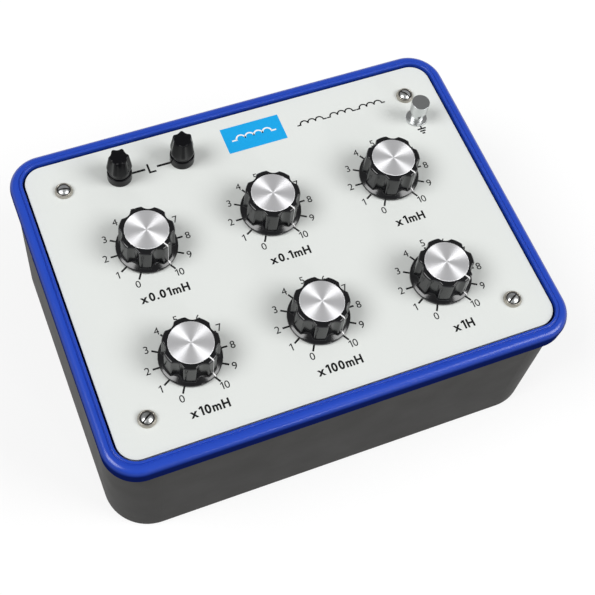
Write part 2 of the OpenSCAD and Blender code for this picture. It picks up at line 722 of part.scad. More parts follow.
// Earth terminal: turned flange with a short neck, stud, sleeve and round head
module earth_base() {
    color("silver") translate([earth_x, earth_y, panel_z]) rotate_extrude()
        polygon([[stud_r + fit_gap, 0], [earth_flange_r, 0], [earth_flange_r, 0.5], [earth_neck_r + 0.5, 1.5],
            [earth_neck_r, 1.8], [earth_neck_r, earth_neck_h], [stud_r + fit_gap, earth_neck_h]]);
}

module earth_stud() {
    low = panel_low - stud_down;
    color("silver") translate([earth_x, earth_y, low])
        cylinder(r = stud_r, h = panel_z + earth_top - 2.2 - low);
}

module earth_sleeve() {
    color("goldenrod") translate([earth_x, earth_y, panel_z + earth_neck_h])
        tube(stud_r + 1, stud_r + fit_gap, earth_top - earth_neck_h - 2);
}

module earth_head() {
    boss = earth_top - earth_head_h;
    bore = stud_r + 1 + fit_gap;
    color("silver") translate([earth_x, earth_y, panel_z]) rotate_extrude()
        polygon([[bore, earth_neck_h], [earth_neck_r, earth_neck_h], [earth_neck_r, boss - 0.3],
            [earth_head_r - 0.4, boss], [earth_head_r, boss + 0.4], [earth_head_r, earth_top - 0.3],
            [earth_head_r - 0.3, earth_top], [0, earth_top], [0, earth_top - 1.9], [bore, earth_top - 1.9]]);
}

// Inductors: four to a decade on one board, wound rings in the rear row, pot cores in the front row
module at_coils(rows) {
    for (k = rows, c = coil_spots) translate([knob_spots[k][0] + c[0], knob_spots[k][1] + c[1], 0]) children();
}

module component_board() {
    reach_x = knob_pitch_x + coil_pitch / 2 + coil_r + 2;
    reach_y = knob_pitch_y / 2 + coil_pitch / 2 + coil_r + 1;
    color("darkgoldenrod") difference() {
        translate([-reach_x, grid_y - reach_y, board_low]) cube([2 * reach_x, 2 * reach_y, board_t]);
        for (p = screw_spots) translate([p[0], p[1], board_low - 1]) cylinder(r = pillar_r + 1, h = board_t + 2);
        for (p = boss_spots) translate([p[0], p[1], board_low - 1]) cylinder(r = bolt_r + hole_gap, h = board_t + 2);
        translate([0, 0, board_low - 1]) at_coils([0:5]) cylinder(r = bolt_r + hole_gap, h = board_t + 2);
        for (p = knob_spots, a = [0:90:270]) translate([p[0], p[1], board_low - 1]) rotate([0, 0, a])
            translate([tap_r, 0, 0]) cylinder(r = pin_r * 0.7, h = board_t + 2);
    }
}

module board_screws() {
    color("silver") for (p = boss_spots) translate([p[0], p[1], board_top]) {
        translate([0, 0, -board_t - boss_h + 1.5]) cylinder(r = bolt_r, h = board_t + boss_h - 1.5 + eps);
        difference() {
            cylinder(r = bolt_r * 1.9, h = 1.8);
            translate([-bolt_r * 2, -0.4, 1]) cube([bolt_r * 4, 0.8, 2]);
        }
    }
}

module board_pins() {
    color("lightgray") for (p = knob_spots, a = [0:90:270]) translate([p[0], p[1], 0]) rotate([0, 0, a])
        translate([tap_r, 0, 0]) {
            translate([0, 0, board_top]) cylinder(r = pin_r, h = pin_h);
            translate([0, 0, board_low - 1]) cylinder(r = pin_r * 0.7 - fit_gap, h = board_t + 1 + eps);
        }
}

module pot_cores() {
    color("dimgray") at_coils([3:5]) translate([0, 0, board_top]) difference() {
        cylinder(r = core_r, h = core_h);
        translate([0, 0, -1]) cylinder(r = bolt_r + hole_gap, h = core_h + 2);
        translate([0, 0, core_wall]) tube(core_r - core_wall, core_post_r, core_h - 2 * core_wall);
        translate([-core_r - 1, -core_slot_w / 2, core_wall]) cube([core_r - core_post_r + 1, core_slot_w, core_h - 2 * core_wall]);
        translate([core_post_r, -core_slot_w / 2, core_wall]) cube([core_r - core_post_r + 1, core_slot_w, core_h - 2 * core_wall]);
    }
}

module pot_bobbins() {
    color("sienna") at_coils([3:5]) translate([0, 0, board_top + core_wall])
        tube(core_r - core_wall - 0.6, core_post_r + 0.2, core_h - 2 * core_wall);
}

module ring_coils() {
    edge = 2;
    mid = (ring_r + ring_hole_r) / 2;
    wide = ring_r - ring_hole_r;
    color("sienna") at_coils([0:2]) translate([0, 0, board_top]) rotate_extrude() translate([mid, ring_h / 2]) {
        square([wide - 2 * edge, ring_h], center = true);
        square([wide, ring_h - 2 * edge], center = true);
        for (sx = [-1, 1], sy = [-1, 1]) translate([sx * (wide / 2 - edge), sy * (ring_h / 2 - edge)]) circle(edge);
    }
}

module ring_clamps() {
    color("ivory") at_coils([0:2]) translate([0, 0, board_top + ring_h]) tube(ring_r - 3, bolt_r + hole_gap, 1.5);
}

module clamp_bolts() {
    color("silver") {
        at_coils([0:2]) clamp_bolt(ring_h + 1.5);
        at_coils([3:5]) clamp_bolt(core_h);
    }
}

module clamp_bolt(stack) {
    translate([0, 0, board_low - 3.5]) cylinder(r = bolt_r, h = board_t + stack + 3.5 + eps);
    translate([0, 0, board_low - 2.4]) cylinder(r = 3.1, h = 2.4, $fn = 6);
    translate([0, 0, board_top + stack]) cylinder(r = 2.8, h = 1.8);
}

// Wires: straight taps from the lugs to the board pins, and the series links between decades
module tap_wires() {
    low = board_top + pin_h;
    color("red") for (p = knob_spots, a = [0:90:270]) translate([p[0], p[1], low]) rotate([0, 0, a])
        translate([tap_r, 0, 0]) cylinder(r = wire_r, h = wafer_top - low);
}

module wire_piece(a, b) {
    d = b - a;
    len = norm(d);
    translate(a) rotate([0, acos(d[2] / len), atan2(d[1], d[0])]) cylinder(r = wire_r, h = len);
}

// Lead from a terminal's tag to the top of a lug, straight and cut level at both ends
module tag_lead(from, to) {
    low = wafer_top + lug_t;
    run = [to[0] - from[0], to[1] - from[1], low - tag_low];
    more = 3 * run / norm(run);
    start = [from[0], from[1], tag_low];
    intersection() {
        wire_piece(start - more, start + run + more);
        translate([-frame_w, -frame_d, low]) cube([2 * frame_w, 2 * frame_d, tag_low - low]);
    }
}

module link_wires() {
    z = lug_z;
    s = knob_spots;
    e = lug_end;
    color("royalblue") {
        wire_piece([s[0][0], s[0][1] - e, z], [s[3][0], s[3][1] + e, z]);
        wire_piece([s[3][0] + e, s[3][1], z], [s[4][0] - e, s[4][1], z]);
        wire_piece([s[4][0] + e, s[4][1], z], [s[5][0] - e, s[5][1], z]);
        wire_piece([s[5][0], s[5][1] + e, z], [s[2][0], s[2][1] - e, z]);
        wire_piece([s[2][0] - e, s[2][1], z], [s[1][0] + e, s[1][1], z]);
        for (k = [0, 1])
            tag_lead([post_spots[k][0] + tag_tail, post_spots[k][1]], [s[k][0], s[k][1] + tap_r]);
    }
}

lower_case();
threaded_inserts();
bezel_frame();
front_panel();
cup_washers();
panel_screws();
switch_drums();
switch_nuts();
switch_washers();
switch_wafers();
switch_rods();
switch_lugs();
component_board();
board_screws();
board_pins();
pot_cores();
pot_bobbins();
ring_coils();
clamp_bolts();
ring_clamps();
tap_wires();
link_wires();
terminal_collars();
terminal_studs();
terminal_nuts();
terminal_tags();
cap_sleeve(post_spots[0]);  // cap_sleeve_left
terminal_cap(post_spots[0], cap_turns[0]);  // cap_left
cap_sleeve(post_spots[1]);  // cap_sleeve_right
terminal_cap(post_spots[1], cap_turns[1]);  // cap_right
earth_base();
earth_stud();
earth_sleeve();
earth_head();
knob(knob_spots[0]);  // knob_1
knob(knob_spots[1]);  // knob_2
knob(knob_spots[2]);  // knob_3
knob(knob_spots[3]);  // knob_4
knob(knob_spots[4]);  // knob_5
knob(knob_spots[5]);  // knob_6
knob_disc(knob_spots[0]);  // knob_disc_1
knob_disc(knob_spots[1]);  // knob_disc_2
knob_disc(knob_spots[2]);  // knob_disc_3
knob_disc(knob_spots[3]);  // knob_disc_4
knob_disc(knob_spots[4]);  // knob_disc_5
knob_disc(knob_spots[5]);  // knob_disc_6
knob_grub(knob_spots[0]);  // knob_grub_1
knob_grub(knob_spots[1]);  // knob_grub_2
knob_grub(knob_spots[2]);  // knob_grub_3
knob_grub(knob_spots[3]);  // knob_grub_4
knob_grub(knob_spots[4]);  // knob_grub_5
knob_grub(knob_spots[5]);  // knob_grub_6
spindle(knob_spots[0]);  // spindle_1
spindle(knob_spots[1]);  // spindle_2
spindle(knob_spots[2]);  // spindle_3
spindle(knob_spots[3]);  // spindle_4
spindle(knob_spots[4]);  // spindle_5
spindle(knob_spots[5]);  // spindle_6
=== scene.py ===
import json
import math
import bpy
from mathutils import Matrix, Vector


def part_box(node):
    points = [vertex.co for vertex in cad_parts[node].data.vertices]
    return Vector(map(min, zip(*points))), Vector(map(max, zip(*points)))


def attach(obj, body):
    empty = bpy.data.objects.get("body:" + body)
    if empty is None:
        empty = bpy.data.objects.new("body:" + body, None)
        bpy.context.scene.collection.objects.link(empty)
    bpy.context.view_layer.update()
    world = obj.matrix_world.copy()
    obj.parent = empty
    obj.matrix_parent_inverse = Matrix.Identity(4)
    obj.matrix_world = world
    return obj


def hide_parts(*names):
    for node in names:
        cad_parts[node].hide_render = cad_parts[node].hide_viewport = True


bl_info = {
    "name": "Bench Decade Box",
    "version": (1, 0, 0),
    "blender": (4, 5, 0),
    "location": "View3D > Sidebar > Decade Box",
    "description": "Finishes, knobs, terminals and printed panel for a bench decade box",
    "category": "Object",
}

import bpy
from mathutils import Matrix, Vector

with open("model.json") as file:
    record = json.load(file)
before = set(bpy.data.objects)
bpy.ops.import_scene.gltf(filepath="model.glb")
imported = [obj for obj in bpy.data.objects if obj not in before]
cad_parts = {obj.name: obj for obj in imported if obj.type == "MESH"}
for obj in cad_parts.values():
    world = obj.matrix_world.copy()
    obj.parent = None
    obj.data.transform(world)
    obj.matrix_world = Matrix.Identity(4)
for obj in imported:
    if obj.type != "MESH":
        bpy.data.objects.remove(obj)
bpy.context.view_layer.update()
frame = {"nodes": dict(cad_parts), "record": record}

MM = 0.001


def middle(node):
    """The middle of a CAD node in plan, in metres."""
    low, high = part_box(node)
    return (low[0] + high[0]) / 2, (low[1] + high[1]) / 2


PANEL_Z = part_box("front_panel")[1][2]
KNOBS = [middle("knob_disc_%d" % i) for i in range(1, 7)]
CAPS = {side: middle("cap_sleeve_" + side) for side in ("left", "right")}
EARTH = middle("earth_sleeve")
LEGENDS = ("x0.01mH", "x0.1mH", "x1mH", "x10mH", "x100mH", "x1H")

# The dial's marks in degrees from X, clockwise from nought to ten, where every pointer rests
DIAL_MARKS = 11
DIAL_START, DIAL_STEP = -120, 30
POINTER_TURN = math.radians(-60)
KNOB_LOBES, CAP_LOBES = 7, 6

# What the photograph's camera was found to be: its focal length and centre in pixels of a square picture
PICTURE, FOCAL, SHIFT_X, SHIFT_Y = 595, 1258.7, 35.5, -20.3


# Sizes and colours that a user may change
def linear(code):
    """The linear colour of an sRGB hex code."""
    parts = [int(code[i : i + 2], 16) / 255 for i in (1, 3, 5)]
    return tuple(c / 12.92 if c <= 0.04045 else ((c + 0.055) / 1.055) ** 2.4 for c in parts)


def colour(name, what, code):
    return bpy.props.FloatVectorProperty(
        name=name, description=what, default=linear(code), subtype="COLOR", size=3, min=0, max=1
    )


def length(name, what, value):
    return bpy.props.FloatProperty(
        name=name, description=what, default=value * MM, unit="LENGTH", precision=5, min=0
    )


class DecadeColours(bpy.types.PropertyGroup):
    panel: colour("Panel", "Satin paint of the front panel", "#DFE2DF")
    frame: colour("Frame", "Gloss paint of the frame", "#1F45B4")
    # Painted shade: the dark blue that stands for the frame's outer side in shade
    navy: colour("Navy", "The same paint on the frame's outer side", "#111F5C")
    case: colour("Case", "Satin paint of the case", "#232220")
    ink: colour("Ink", "Black screen print on the panel", "#0A0A0D")
    patch: colour("Patch", "Blue patch on the panel", "#0F9DDC")
    phenolic: colour("Phenolic", "Black moulding of knobs and caps", "#0C0C0F")
    pointer: colour("Pointer", "White fill of the pointer groove", "#F2F2F2")
    aluminium: colour("Aluminium", "Turned discs in the knobs", "#FBFBFD")
    nickel: colour("Nickel", "Plated washers, screws and earth terminal", "#D0D2D2")
    brass: colour("Brass", "Studs, sleeves and inserts", "#C9A052")


class DecadeSizes(bpy.types.PropertyGroup):
    disc_r: length("Disc radius", "Radius of the turned disc", 11.6)
    ring_r: length("Ring radius", "Radius of the knob's top ring", 14.7)
    grip_r: length("Grip radius", "Radius of the grip at its foot", 14.9)
    skirt_r: length("Skirt radius", "Radius of the knob's skirt", 16.5)
    knob_top: length("Knob height", "Top of the knob above the panel", 17.9)
    grip_foot: length("Grip foot", "Foot of the grip above the panel", 3.02)
    skirt_top: length("Skirt edge", "Upper edge of the skirt above the panel", 2.1)
    scallop_r: length("Scallop radius", "Radius of a hollow between lobes", 4.0)
    scallop_depth: length("Scallop depth", "Depth of a hollow between lobes", 2.0)
    pointer_w: length("Pointer width", "Width of the white pointer", 0.7)
    collar_r: length("Collar radius", "Radius of a line terminal's collar", 6.75)
    collar_h: length("Collar height", "Height of a line terminal's collar", 5.6)
    cap_r: length("Cap radius", "Radius of a line terminal's cap at its belly", 6.9)
    cap_top: length("Cap height", "Top of a line terminal's cap above the panel", 19.7)
    earth_r: length("Earth head radius", "Radius of the earth terminal's head", 5.0)
    earth_top: length("Earth head height", "Top of the earth terminal above the panel", 15.3)
    washer_r: length("Washer radius", "Radius of a cup washer", 4.9)
    slot_w: length("Slot width", "Width of a screw's driving slot", 0.9)
    tick_w: length("Tick width", "Width of a dial tick", 1.0)
    tick_r: length("Tick radius", "Outer end of a dial tick", 19.9)
    number_r: length("Number radius", "Distance of the numbers from the knob's axis", 22.7)
    number_h: length("Number height", "Height of a dial number", 4.1)
    legend_h: length("Legend height", "Height of a legend's capitals", 5.2)
    legend_drop: length("Legend drop", "Distance of a legend in front of its knob", 28.9)
    patch_w: length("Patch width", "Width of the blue patch", 34.5)
    patch_d: length("Patch depth", "Depth of the blue patch, front to back", 16.7)
    print_t: length("Print lift", "Rise of the print above the paint", 0.03)


def sizes():
    return bpy.context.scene.decade_sizes


def colours():
    return bpy.context.scene.decade_colours


# Selection and edit helpers
def solo(obj=None):
    """Leaves edit mode and selects this object only."""
    if bpy.context.object and bpy.context.object.mode != "OBJECT":
        bpy.ops.object.mode_set(mode="OBJECT")
    bpy.ops.object.select_all(action="DESELECT")
    if obj:
        obj.select_set(True)
        bpy.context.view_layer.objects.active = obj


def edit(obj):
    """Opens the object in edit mode with all its vertices selected."""
    solo(obj)
    bpy.ops.object.mode_set(mode="EDIT")
    bpy.ops.mesh.select_mode(type="VERT")
    bpy.ops.mesh.select_all(action="SELECT")


def choose(obj, test):
    """Opens the object in edit mode with only those vertices selected whose place passes the test."""
    edit(obj)
    bpy.ops.mesh.select_all(action="DESELECT")
    bpy.ops.object.mode_set(mode="OBJECT")
    for v in obj.data.vertices:
        v.select = bool(test(v.co))
    bpy.ops.object.mode_set(mode="EDIT")


def tidy_mesh(obj, angle=35):
    """Merges doubles, turns the faces outwards and smooths all but sharp edges."""
    edit(obj)
    bpy.ops.mesh.remove_doubles(threshold=1e-6)
    bpy.ops.mesh.normals_make_consistent(inside=False)
    solo(obj)
    bpy.ops.object.shade_smooth_by_angle(angle=math.radians(angle))


def settle(obj, place=(0, 0, 0), turn=0.0):
    """Puts the piece at its place and bakes the place into its mesh."""
    solo(obj)
    obj.location = place
    obj.rotation_euler = (0, 0, turn)
    bpy.ops.object.transform_apply(location=True, rotation=True, scale=True)
    return obj


def twin(obj, name):
    """A copy of the object with its own mesh."""
    copy = obj.copy()
    copy.data = obj.data.copy()
    copy.name = copy.data.name = name
    bpy.context.collection.objects.link(copy)
    return copy


def drop(obj):
    """Removes an object and its mesh."""
    mesh = obj.data
    bpy.data.objects.remove(obj)
    bpy.data.meshes.remove(mesh)


def apply_modifier(obj, kind, **values):
    solo(obj)
    mod = obj.modifiers.new(kind.title(), kind)
    for key, value in values.items():
        setattr(mod, key, value)
    bpy.ops.object.modifier_apply(modifier=mod.name)


def joined(name, parts):
    """One object from several."""
    solo(parts[0])
    for part in parts[1:]:
        part.select_set(True)
    if len(parts) > 1:
        bpy.ops.object.join()
    parts[0].name = parts[0].data.name = name
    return parts[0]


def paint(obj, mat):
    obj.data.materials.clear()
    obj.data.materials.append(mat)


# Profiles, turned pieces and flat print
def fillet(points, radius, steps=4):
    """A profile in millimetres with its inner corners rounded to that radius, or to a point's third value."""
    out = []
    for i, point in enumerate(points):
        r = point[2] if len(point) > 2 else radius
        here = Vector(point[:2])
        if i in (0, len(points) - 1) or r <= 0:
            out.append(here)
            continue
        a = Vector(points[i - 1][:2]) - here
        b = Vector(points[i + 1][:2]) - here
        half = a.angle(b) / 2
        if half > math.radians(88):
            out.append(here)
            continue
        # An arc takes at most 0.45 of each run, so that two neighbours never meet
        reach = min(r / math.tan(half), a.length * 0.45, b.length * 0.45)
        r = reach * math.tan(half)
        mid = here + (a.normalized() + b.normalized()).normalized() * (r / math.sin(half))
        start = here + a.normalized() * reach - mid
        end = here + b.normalized() * reach - mid
        sweep = start.angle_signed(end)
        # A point just beyond each end of the arc keeps the shading of the straight run flat
        if reach + 0.3 < a.length / 2:
            out.append(here + a.normalized() * (reach + 0.12))
        for k in range(steps + 1):
            t = -sweep * k / steps
            out.append(mid + Vector((start.x * math.cos(t) - start.y * math.sin(t),
                                     start.x * math.sin(t) + start.y * math.cos(t))))
        if reach + 0.3 < b.length / 2:
            out.append(here + b.normalized() * (reach + 0.12))
    return out


def chain(name, points, origin=(0, 0, 0)):
    """Draws a profile in the XZ plane by extruding one vertex from point to point, and leaves it selected."""
    solo()
    bpy.ops.mesh.primitive_plane_add(size=MM, location=(0, 0, 0))
    obj = bpy.context.object
    obj.name = obj.data.name = name
    edit(obj)
    bpy.ops.mesh.merge(type="CENTER")
    places = [Vector((p[0] * MM, 0, p[1] * MM)) + Vector(origin) for p in points]
    bpy.ops.transform.translate(value=places[0])
    for a, b in zip(places, places[1:]):
        bpy.ops.mesh.extrude_vertices_move(TRANSFORM_OT_translate={"value": b - a})
    bpy.ops.mesh.select_all(action="SELECT")
    return obj


def turned(name, points, steps=96, angle=35):
    """Spins a profile about the Z axis."""
    obj = chain(name, points)
    bpy.ops.mesh.spin(steps=steps, angle=2 * math.pi, center=(0, 0, 0), axis=(0, 0, 1))
    tidy_mesh(obj, angle)
    return obj


def flat(name, width, depth, place, turn=0.0):
    """A printed rectangle on the panel, with its middle at the place."""
    solo()
    bpy.ops.mesh.primitive_plane_add(size=1, location=(0, 0, 0))
    obj = bpy.context.object
    obj.name = obj.data.name = name
    obj.scale = (width, depth, 1)
    return settle(obj, (*place, PANEL_Z + sizes().print_t), turn)


def bar(name, a, b, width):
    """A printed bar on the panel from a to b, in metres in plan."""
    run = Vector(b) - Vector(a)
    mid = (Vector(a) + Vector(b)) / 2
    return flat(name, run.length, width, mid, math.atan2(run.y, run.x))


def letter(sign, weight):
    """One letter or figure of plain type made a mesh; the figure one gets its flag."""
    solo()
    bpy.ops.object.text_add(location=(0, 0, 0))
    obj = bpy.context.object
    obj.data.body = sign
    # A bolder four would close its own counter
    obj.data.offset = 0 if sign == "4" else weight
    bpy.ops.object.convert(target="MESH")
    obj = bpy.context.object
    if sign == "1":
        # The flag is a short bar at 38 degrees, in the units of the type, as bold as the stroke
        left = min(v.co.x for v in obj.data.vertices)
        high = max(v.co.y for v in obj.data.vertices)
        bpy.ops.mesh.primitive_plane_add(size=1, location=(0, 0, 0))
        flag = bpy.context.object
        flag.scale = (0.26, 0.075 + 1.6 * weight, 1)
        settle(flag, (left - 0.05, high - 0.11, 0), math.radians(38))
        obj = joined("figure", [obj, flag])
    return obj


def word(name, text, height, place, weight=0.0, squeeze=1.0, gap=0.1):
    """A word set letter by letter, of that height, centred at its place on the panel."""
    parts, x = [], 0.0
    for sign in text:
        obj = letter(sign, weight)
        low = min(v.co.x for v in obj.data.vertices)
        high = max(v.co.x for v in obj.data.vertices)
        obj.data.transform(Matrix.Translation((x - low, 0, 0)))
        x += high - low + gap
        parts.append(obj)
    obj = joined(name, parts)
    xs = [v.co.x for v in obj.data.vertices]
    ys = [v.co.y for v in obj.data.vertices]
    k = height / (max(ys) - min(ys))
    obj.data.transform(Matrix.Translation((-(min(xs) + max(xs)) / 2, -(min(ys) + max(ys)) / 2, 0)))
    obj.scale = (k * squeeze, k, 1)
    return settle(obj, (place[0], place[1], PANEL_Z + sizes().print_t))


# Materials
def add_node(mat, kind, inputs=None, **settings):
    """Adds a node with its settings, and gives each input its value or the socket that feeds it."""
    node = mat.node_tree.nodes.new(kind)
    for key, value in settings.items():
        setattr(node, key, value)
    for key, value in (inputs or {}).items():
        if isinstance(value, bpy.types.NodeSocket):
            link(mat, value, node.inputs[key])
        else:
            node.inputs[key].default_value = value
    return node


def link(mat, a, b):
    mat.node_tree.links.new(a, b)


def start_material(name, **values):
    """A material with its shader's plain values, and the coordinates of the piece."""
    mat = bpy.data.materials.new(name)
    mat.use_nodes = True
    shader = mat.node_tree.nodes["Principled BSDF"]
    for key, value in values.items():
        socket = shader.inputs[key.replace("_", " ")]
        socket.default_value = (*value, 1) if key == "Base_Color" else value
    place = add_node(mat, "ShaderNodeTexCoord")
    mat.diffuse_color = (*values["Base_Color"], 1)
    return mat, shader, place.outputs["Object"]


def grain(mat, shader, place, size, height, detail=3.0):
    """Fine relief: bumps of that size and height, in millimetres."""
    noise = add_node(mat, "ShaderNodeTexNoise", {"Vector": place, "Scale": 1000 / size, "Detail": detail,
                                                 "Roughness": 0.55})
    bump = add_node(mat, "ShaderNodeBump", {"Height": noise.outputs["Fac"], "Strength": 1.0,
                                            "Distance": height * MM})
    link(mat, bump.outputs["Normal"], shader.inputs["Normal"])


def mottle(mat, shader, place, size, low, high):
    """Uneven polish: a roughness that wanders between two limits over patches of that size in millimetres."""
    noise = add_node(mat, "ShaderNodeTexNoise", {"Vector": place, "Scale": 1000 / size, "Detail": 4.0})
    # Noise seldom leaves 0.3 to 0.7, so that stretch of it spans the two limits
    span = add_node(mat, "ShaderNodeMapRange", {"Value": noise.outputs["Fac"], "From Min": 0.3,
                                                "From Max": 0.7, "To Min": low, "To Max": high})
    link(mat, span.outputs["Result"], shader.inputs["Roughness"])


def tint(mat, shader, place, size, a, b):
    """Slight drift between two colours over patches of that size in millimetres; returns its socket."""
    noise = add_node(mat, "ShaderNodeTexNoise", {"Vector": place, "Scale": 1000 / size, "Detail": 3.0})
    # Input 0 of a Mix node is its share, 6 and 7 are its two colours, and output 2 is their blend
    mix = add_node(mat, "ShaderNodeMix", {0: noise.outputs["Fac"], 6: (*a, 1), 7: (*b, 1)}, data_type="RGBA")
    link(mat, mix.outputs[2], shader.inputs["Base Color"])
    return mix.outputs[2]


def shade(value, by):
    return tuple(min(1.0, c * by) for c in value)


def panel_paint():
    # Stoved satin paint on sheet: flat and even, with a faint fine tooth that softens reflections
    base = colours().panel
    mat, shader, place = start_material("satin_stoved_paint_panel", Base_Color=base, IOR=1.5)
    mottle(mat, shader, place, 30, 0.42, 0.5)
    tint(mat, shader, place, 60, shade(base, 0.985), base)
    grain(mat, shader, place, 0.5, 0.004)
    return mat


def frame_paint():
    # Gloss stoved enamel on a casting: deep blue with a clear skin; down the outer side the colour turns dark
    # and the reflection fades, as painted shade
    base = colours().frame
    mat, shader, place = start_material("gloss_stoved_enamel_frame", Base_Color=base, IOR=1.5, Roughness=0.24)
    # Both the sheen and the blue come in over a short climb at the panel's height; below it the reflection is
    # held back and the colour is dark, as painted shade
    height = add_node(mat, "ShaderNodeSeparateXYZ", {"Vector": place}).outputs["Z"]
    low, high = PANEL_Z - 1.6 * MM, PANEL_Z + 0.2 * MM
    sheen = add_node(mat, "ShaderNodeMapRange", {"Value": height, "From Min": low, "From Max": high,
                                                 "To Max": 0.45})
    link(mat, sheen.outputs["Result"], shader.inputs["Specular IOR Level"])
    blue = tint(mat, shader, place, 25, shade(base, 0.94), shade(base, 1.05))
    # Painted shade: below the panel's height the blue gives way to the dark shade colour
    low, high = PANEL_Z - 2.4 * MM, PANEL_Z + 0.3 * MM
    above = add_node(mat, "ShaderNodeMapRange", {"Value": height, "From Min": low, "From Max": high})
    mix = add_node(mat, "ShaderNodeMix", {0: above.outputs["Result"], 6: (*colours().navy, 1), 7: blue},
                   data_type="RGBA")
    link(mat, mix.outputs[2], shader.inputs["Base Color"])
    grain(mat, shader, place, 2.2, 0.012, detail=2.0)
    return mat


def case_paint():
    # Satin powder coat on a pressed case: even grey with a fine pebble that spreads the light
    base = colours().case
    mat, shader, place = start_material("powder_coat_case", Base_Color=base, IOR=1.5, Specular_IOR_Level=0.17)
    mottle(mat, shader, place, 18, 0.52, 0.57)
    tint(mat, shader, place, 40, shade(base, 0.97), shade(base, 1.02))
    grain(mat, shader, place, 0.9, 0.02)
    return mat


def screen_ink(name, base):
    # Screen-printed ink: dense and slightly rough at its surface, so it stays dark beside the paint
    mat, shader, place = start_material(name, Base_Color=base, IOR=1.5, Specular_IOR_Level=0.25)
    mottle(mat, shader, place, 2, 0.5, 0.65)
    tint(mat, shader, place, 1.2, base, shade(base, 1.12))
    return mat


def phenolic(name, shine):
    # Compression-moulded phenolic: near-black with a polished skin, sharp highlights and slight haze
    base = colours().phenolic
    mat, shader, place = start_material(name, Base_Color=base, IOR=1.55, Specular_IOR_Level=shine)
    mottle(mat, shader, place, 6, 0.14, 0.2)
    grain(mat, shader, place, 0.8, 0.004)
    return mat


def groove_fill():
    # Enamel wiped into a groove: opaque white with a dull, faintly uneven face
    base = colours().pointer
    mat, shader, place = start_material("wiped_enamel_pointer", Base_Color=base, IOR=1.5)
    mottle(mat, shader, place, 1.5, 0.4, 0.6)
    tint(mat, shader, place, 1.0, shade(base, 0.94), base)
    return mat


def turned_aluminium():
    # Face-turned aluminium: fine rings around the middle that draw the light into bright fans
    base = colours().aluminium
    mat, shader, _ = start_material("face_turned_aluminium", Base_Color=base, Metallic=0.78,
                                    Anisotropic=0.92, Roughness=0.46)
    tangent = add_node(mat, "ShaderNodeTangent", direction_type="UV_MAP", uv_map="Rings")
    link(mat, tangent.outputs["Tangent"], shader.inputs["Tangent"])
    spots = add_node(mat, "ShaderNodeUVMap", uv_map="Rings")
    split = add_node(mat, "ShaderNodeSeparateXYZ", {"Vector": spots.outputs["UV"]})
    # Turning marks, 0.1 mm apart on a real disc, are drawn at 0.3 mm, so that they show
    turns = 2 * math.pi * sizes().disc_r / (0.3 * MM)
    ring = add_node(mat, "ShaderNodeMath", {0: split.outputs["Y"], 1: turns}, operation="MULTIPLY")
    wave = add_node(mat, "ShaderNodeMath", {0: ring.outputs["Value"]}, operation="SINE")
    bump = add_node(mat, "ShaderNodeBump", {"Height": wave.outputs["Value"], "Strength": 1.0,
                                            "Distance": 0.0006 * MM})
    link(mat, bump.outputs["Normal"], shader.inputs["Normal"])
    return mat


def plate(name, base, low, high):
    # Bright plating over turned metal: mirror-like with soft patches of haze
    mat, shader, place = start_material(name, Base_Color=base, Metallic=1.0)
    mottle(mat, shader, place, 5, low, high)
    grain(mat, shader, place, 0.6, 0.002)
    return mat


def plain(name, code, low, high, size, height, metal=0.0):
    # Inner pieces: their own colour, uneven polish and a fine surface relief
    base = linear(code)
    mat, shader, place = start_material(name, Base_Color=base, Metallic=metal)
    mottle(mat, shader, place, size, low, high)
    tint(mat, shader, place, size * 2, shade(base, 0.9), shade(base, 1.08))
    grain(mat, shader, place, size / 6, height)
    return mat


MATERIALS = {}


def made(name, maker, *args):
    """The material of that name, made once."""
    if name not in MATERIALS:
        MATERIALS[name] = maker(*args)
    return MATERIALS[name]


def nickel():
    return made("nickel", plate, "polished_nickel_plate", colours().nickel, 0.1, 0.2)


def satin_nickel():
    return made("satin", plate, "satin_nickel_plate", colours().nickel, 0.28, 0.38)


def slot_tarnish():
    # The floor and walls of a driving slot: a dark metal as painted shade, so that it stays dark
    mat, shader, place = start_material("slot_painted_shade", Base_Color=linear("#3A3937"), Metallic=0.3)
    mottle(mat, shader, place, 0.8, 0.55, 0.75)
    grain(mat, shader, place, 0.2, 0.01)
    return mat


def black():
    return made("black", phenolic, "moulded_phenolic_polished", 0.5)


def dull_black():
    return made("dull", phenolic, "moulded_phenolic_handled", 0.16)


def ink():
    return made("ink", screen_ink, "screen_ink_black", colours().ink)


class DECADE_OT_finishes(bpy.types.Operator):
    """Gives every CAD piece the finish of the real one"""

    bl_idname = "decade.finishes"
    bl_label = "Finishes"

    def execute(self, context):
        board = plain("glass_epoxy_board", "#8E7A3C", 0.45, 0.6, 5.0, 0.006)
        finishes = {
            "case_paint": case_paint(),
            "panel_paint": panel_paint(),
            "frame_paint": made("frame", frame_paint),
            "nickel": nickel(),
            "black_phenolic": black(),
            "brass": plate("turned_brass", colours().brass, 0.22, 0.34),
            "zinc_steel": plain("zinc_plated_steel", "#A4A7AB", 0.3, 0.45, 3.0, 0.002, 1.0),
            "tinned_brass": plain("tinned_brass", "#BDBDBA", 0.25, 0.4, 2.0, 0.003, 1.0),
            "phenolic_sheet": plain("punched_phenolic_sheet", "#7C4A22", 0.5, 0.65, 4.0, 0.01),
            "ferrite": plain("ground_ferrite", "#3B3B3E", 0.55, 0.7, 2.0, 0.01),
            "winding": plain("enamelled_copper_winding", "#8A4A23", 0.3, 0.45, 1.2, 0.03, 0.6),
            "nylon": plain("moulded_nylon", "#DAD6C8", 0.4, 0.5, 4.0, 0.005),
            "wire_sleeve": plain("extruded_wire_sleeve", "#A8231D", 0.35, 0.45, 3.0, 0.004),
        }
        # The CAD discs are drawn anew with rings, so that any plain metal does for them here
        finishes["turned_aluminium"] = finishes["zinc_steel"]
        by_node = {part["node"]: part["material_slot"] for part in frame["record"]["subparts"]}
        for node, obj in frame["nodes"].items():
            mat = board if node == "component_board" else finishes[by_node[node]]
            for slot in obj.material_slots:
                slot.link = "OBJECT"
                slot.material = mat
        return {"FINISHED"}


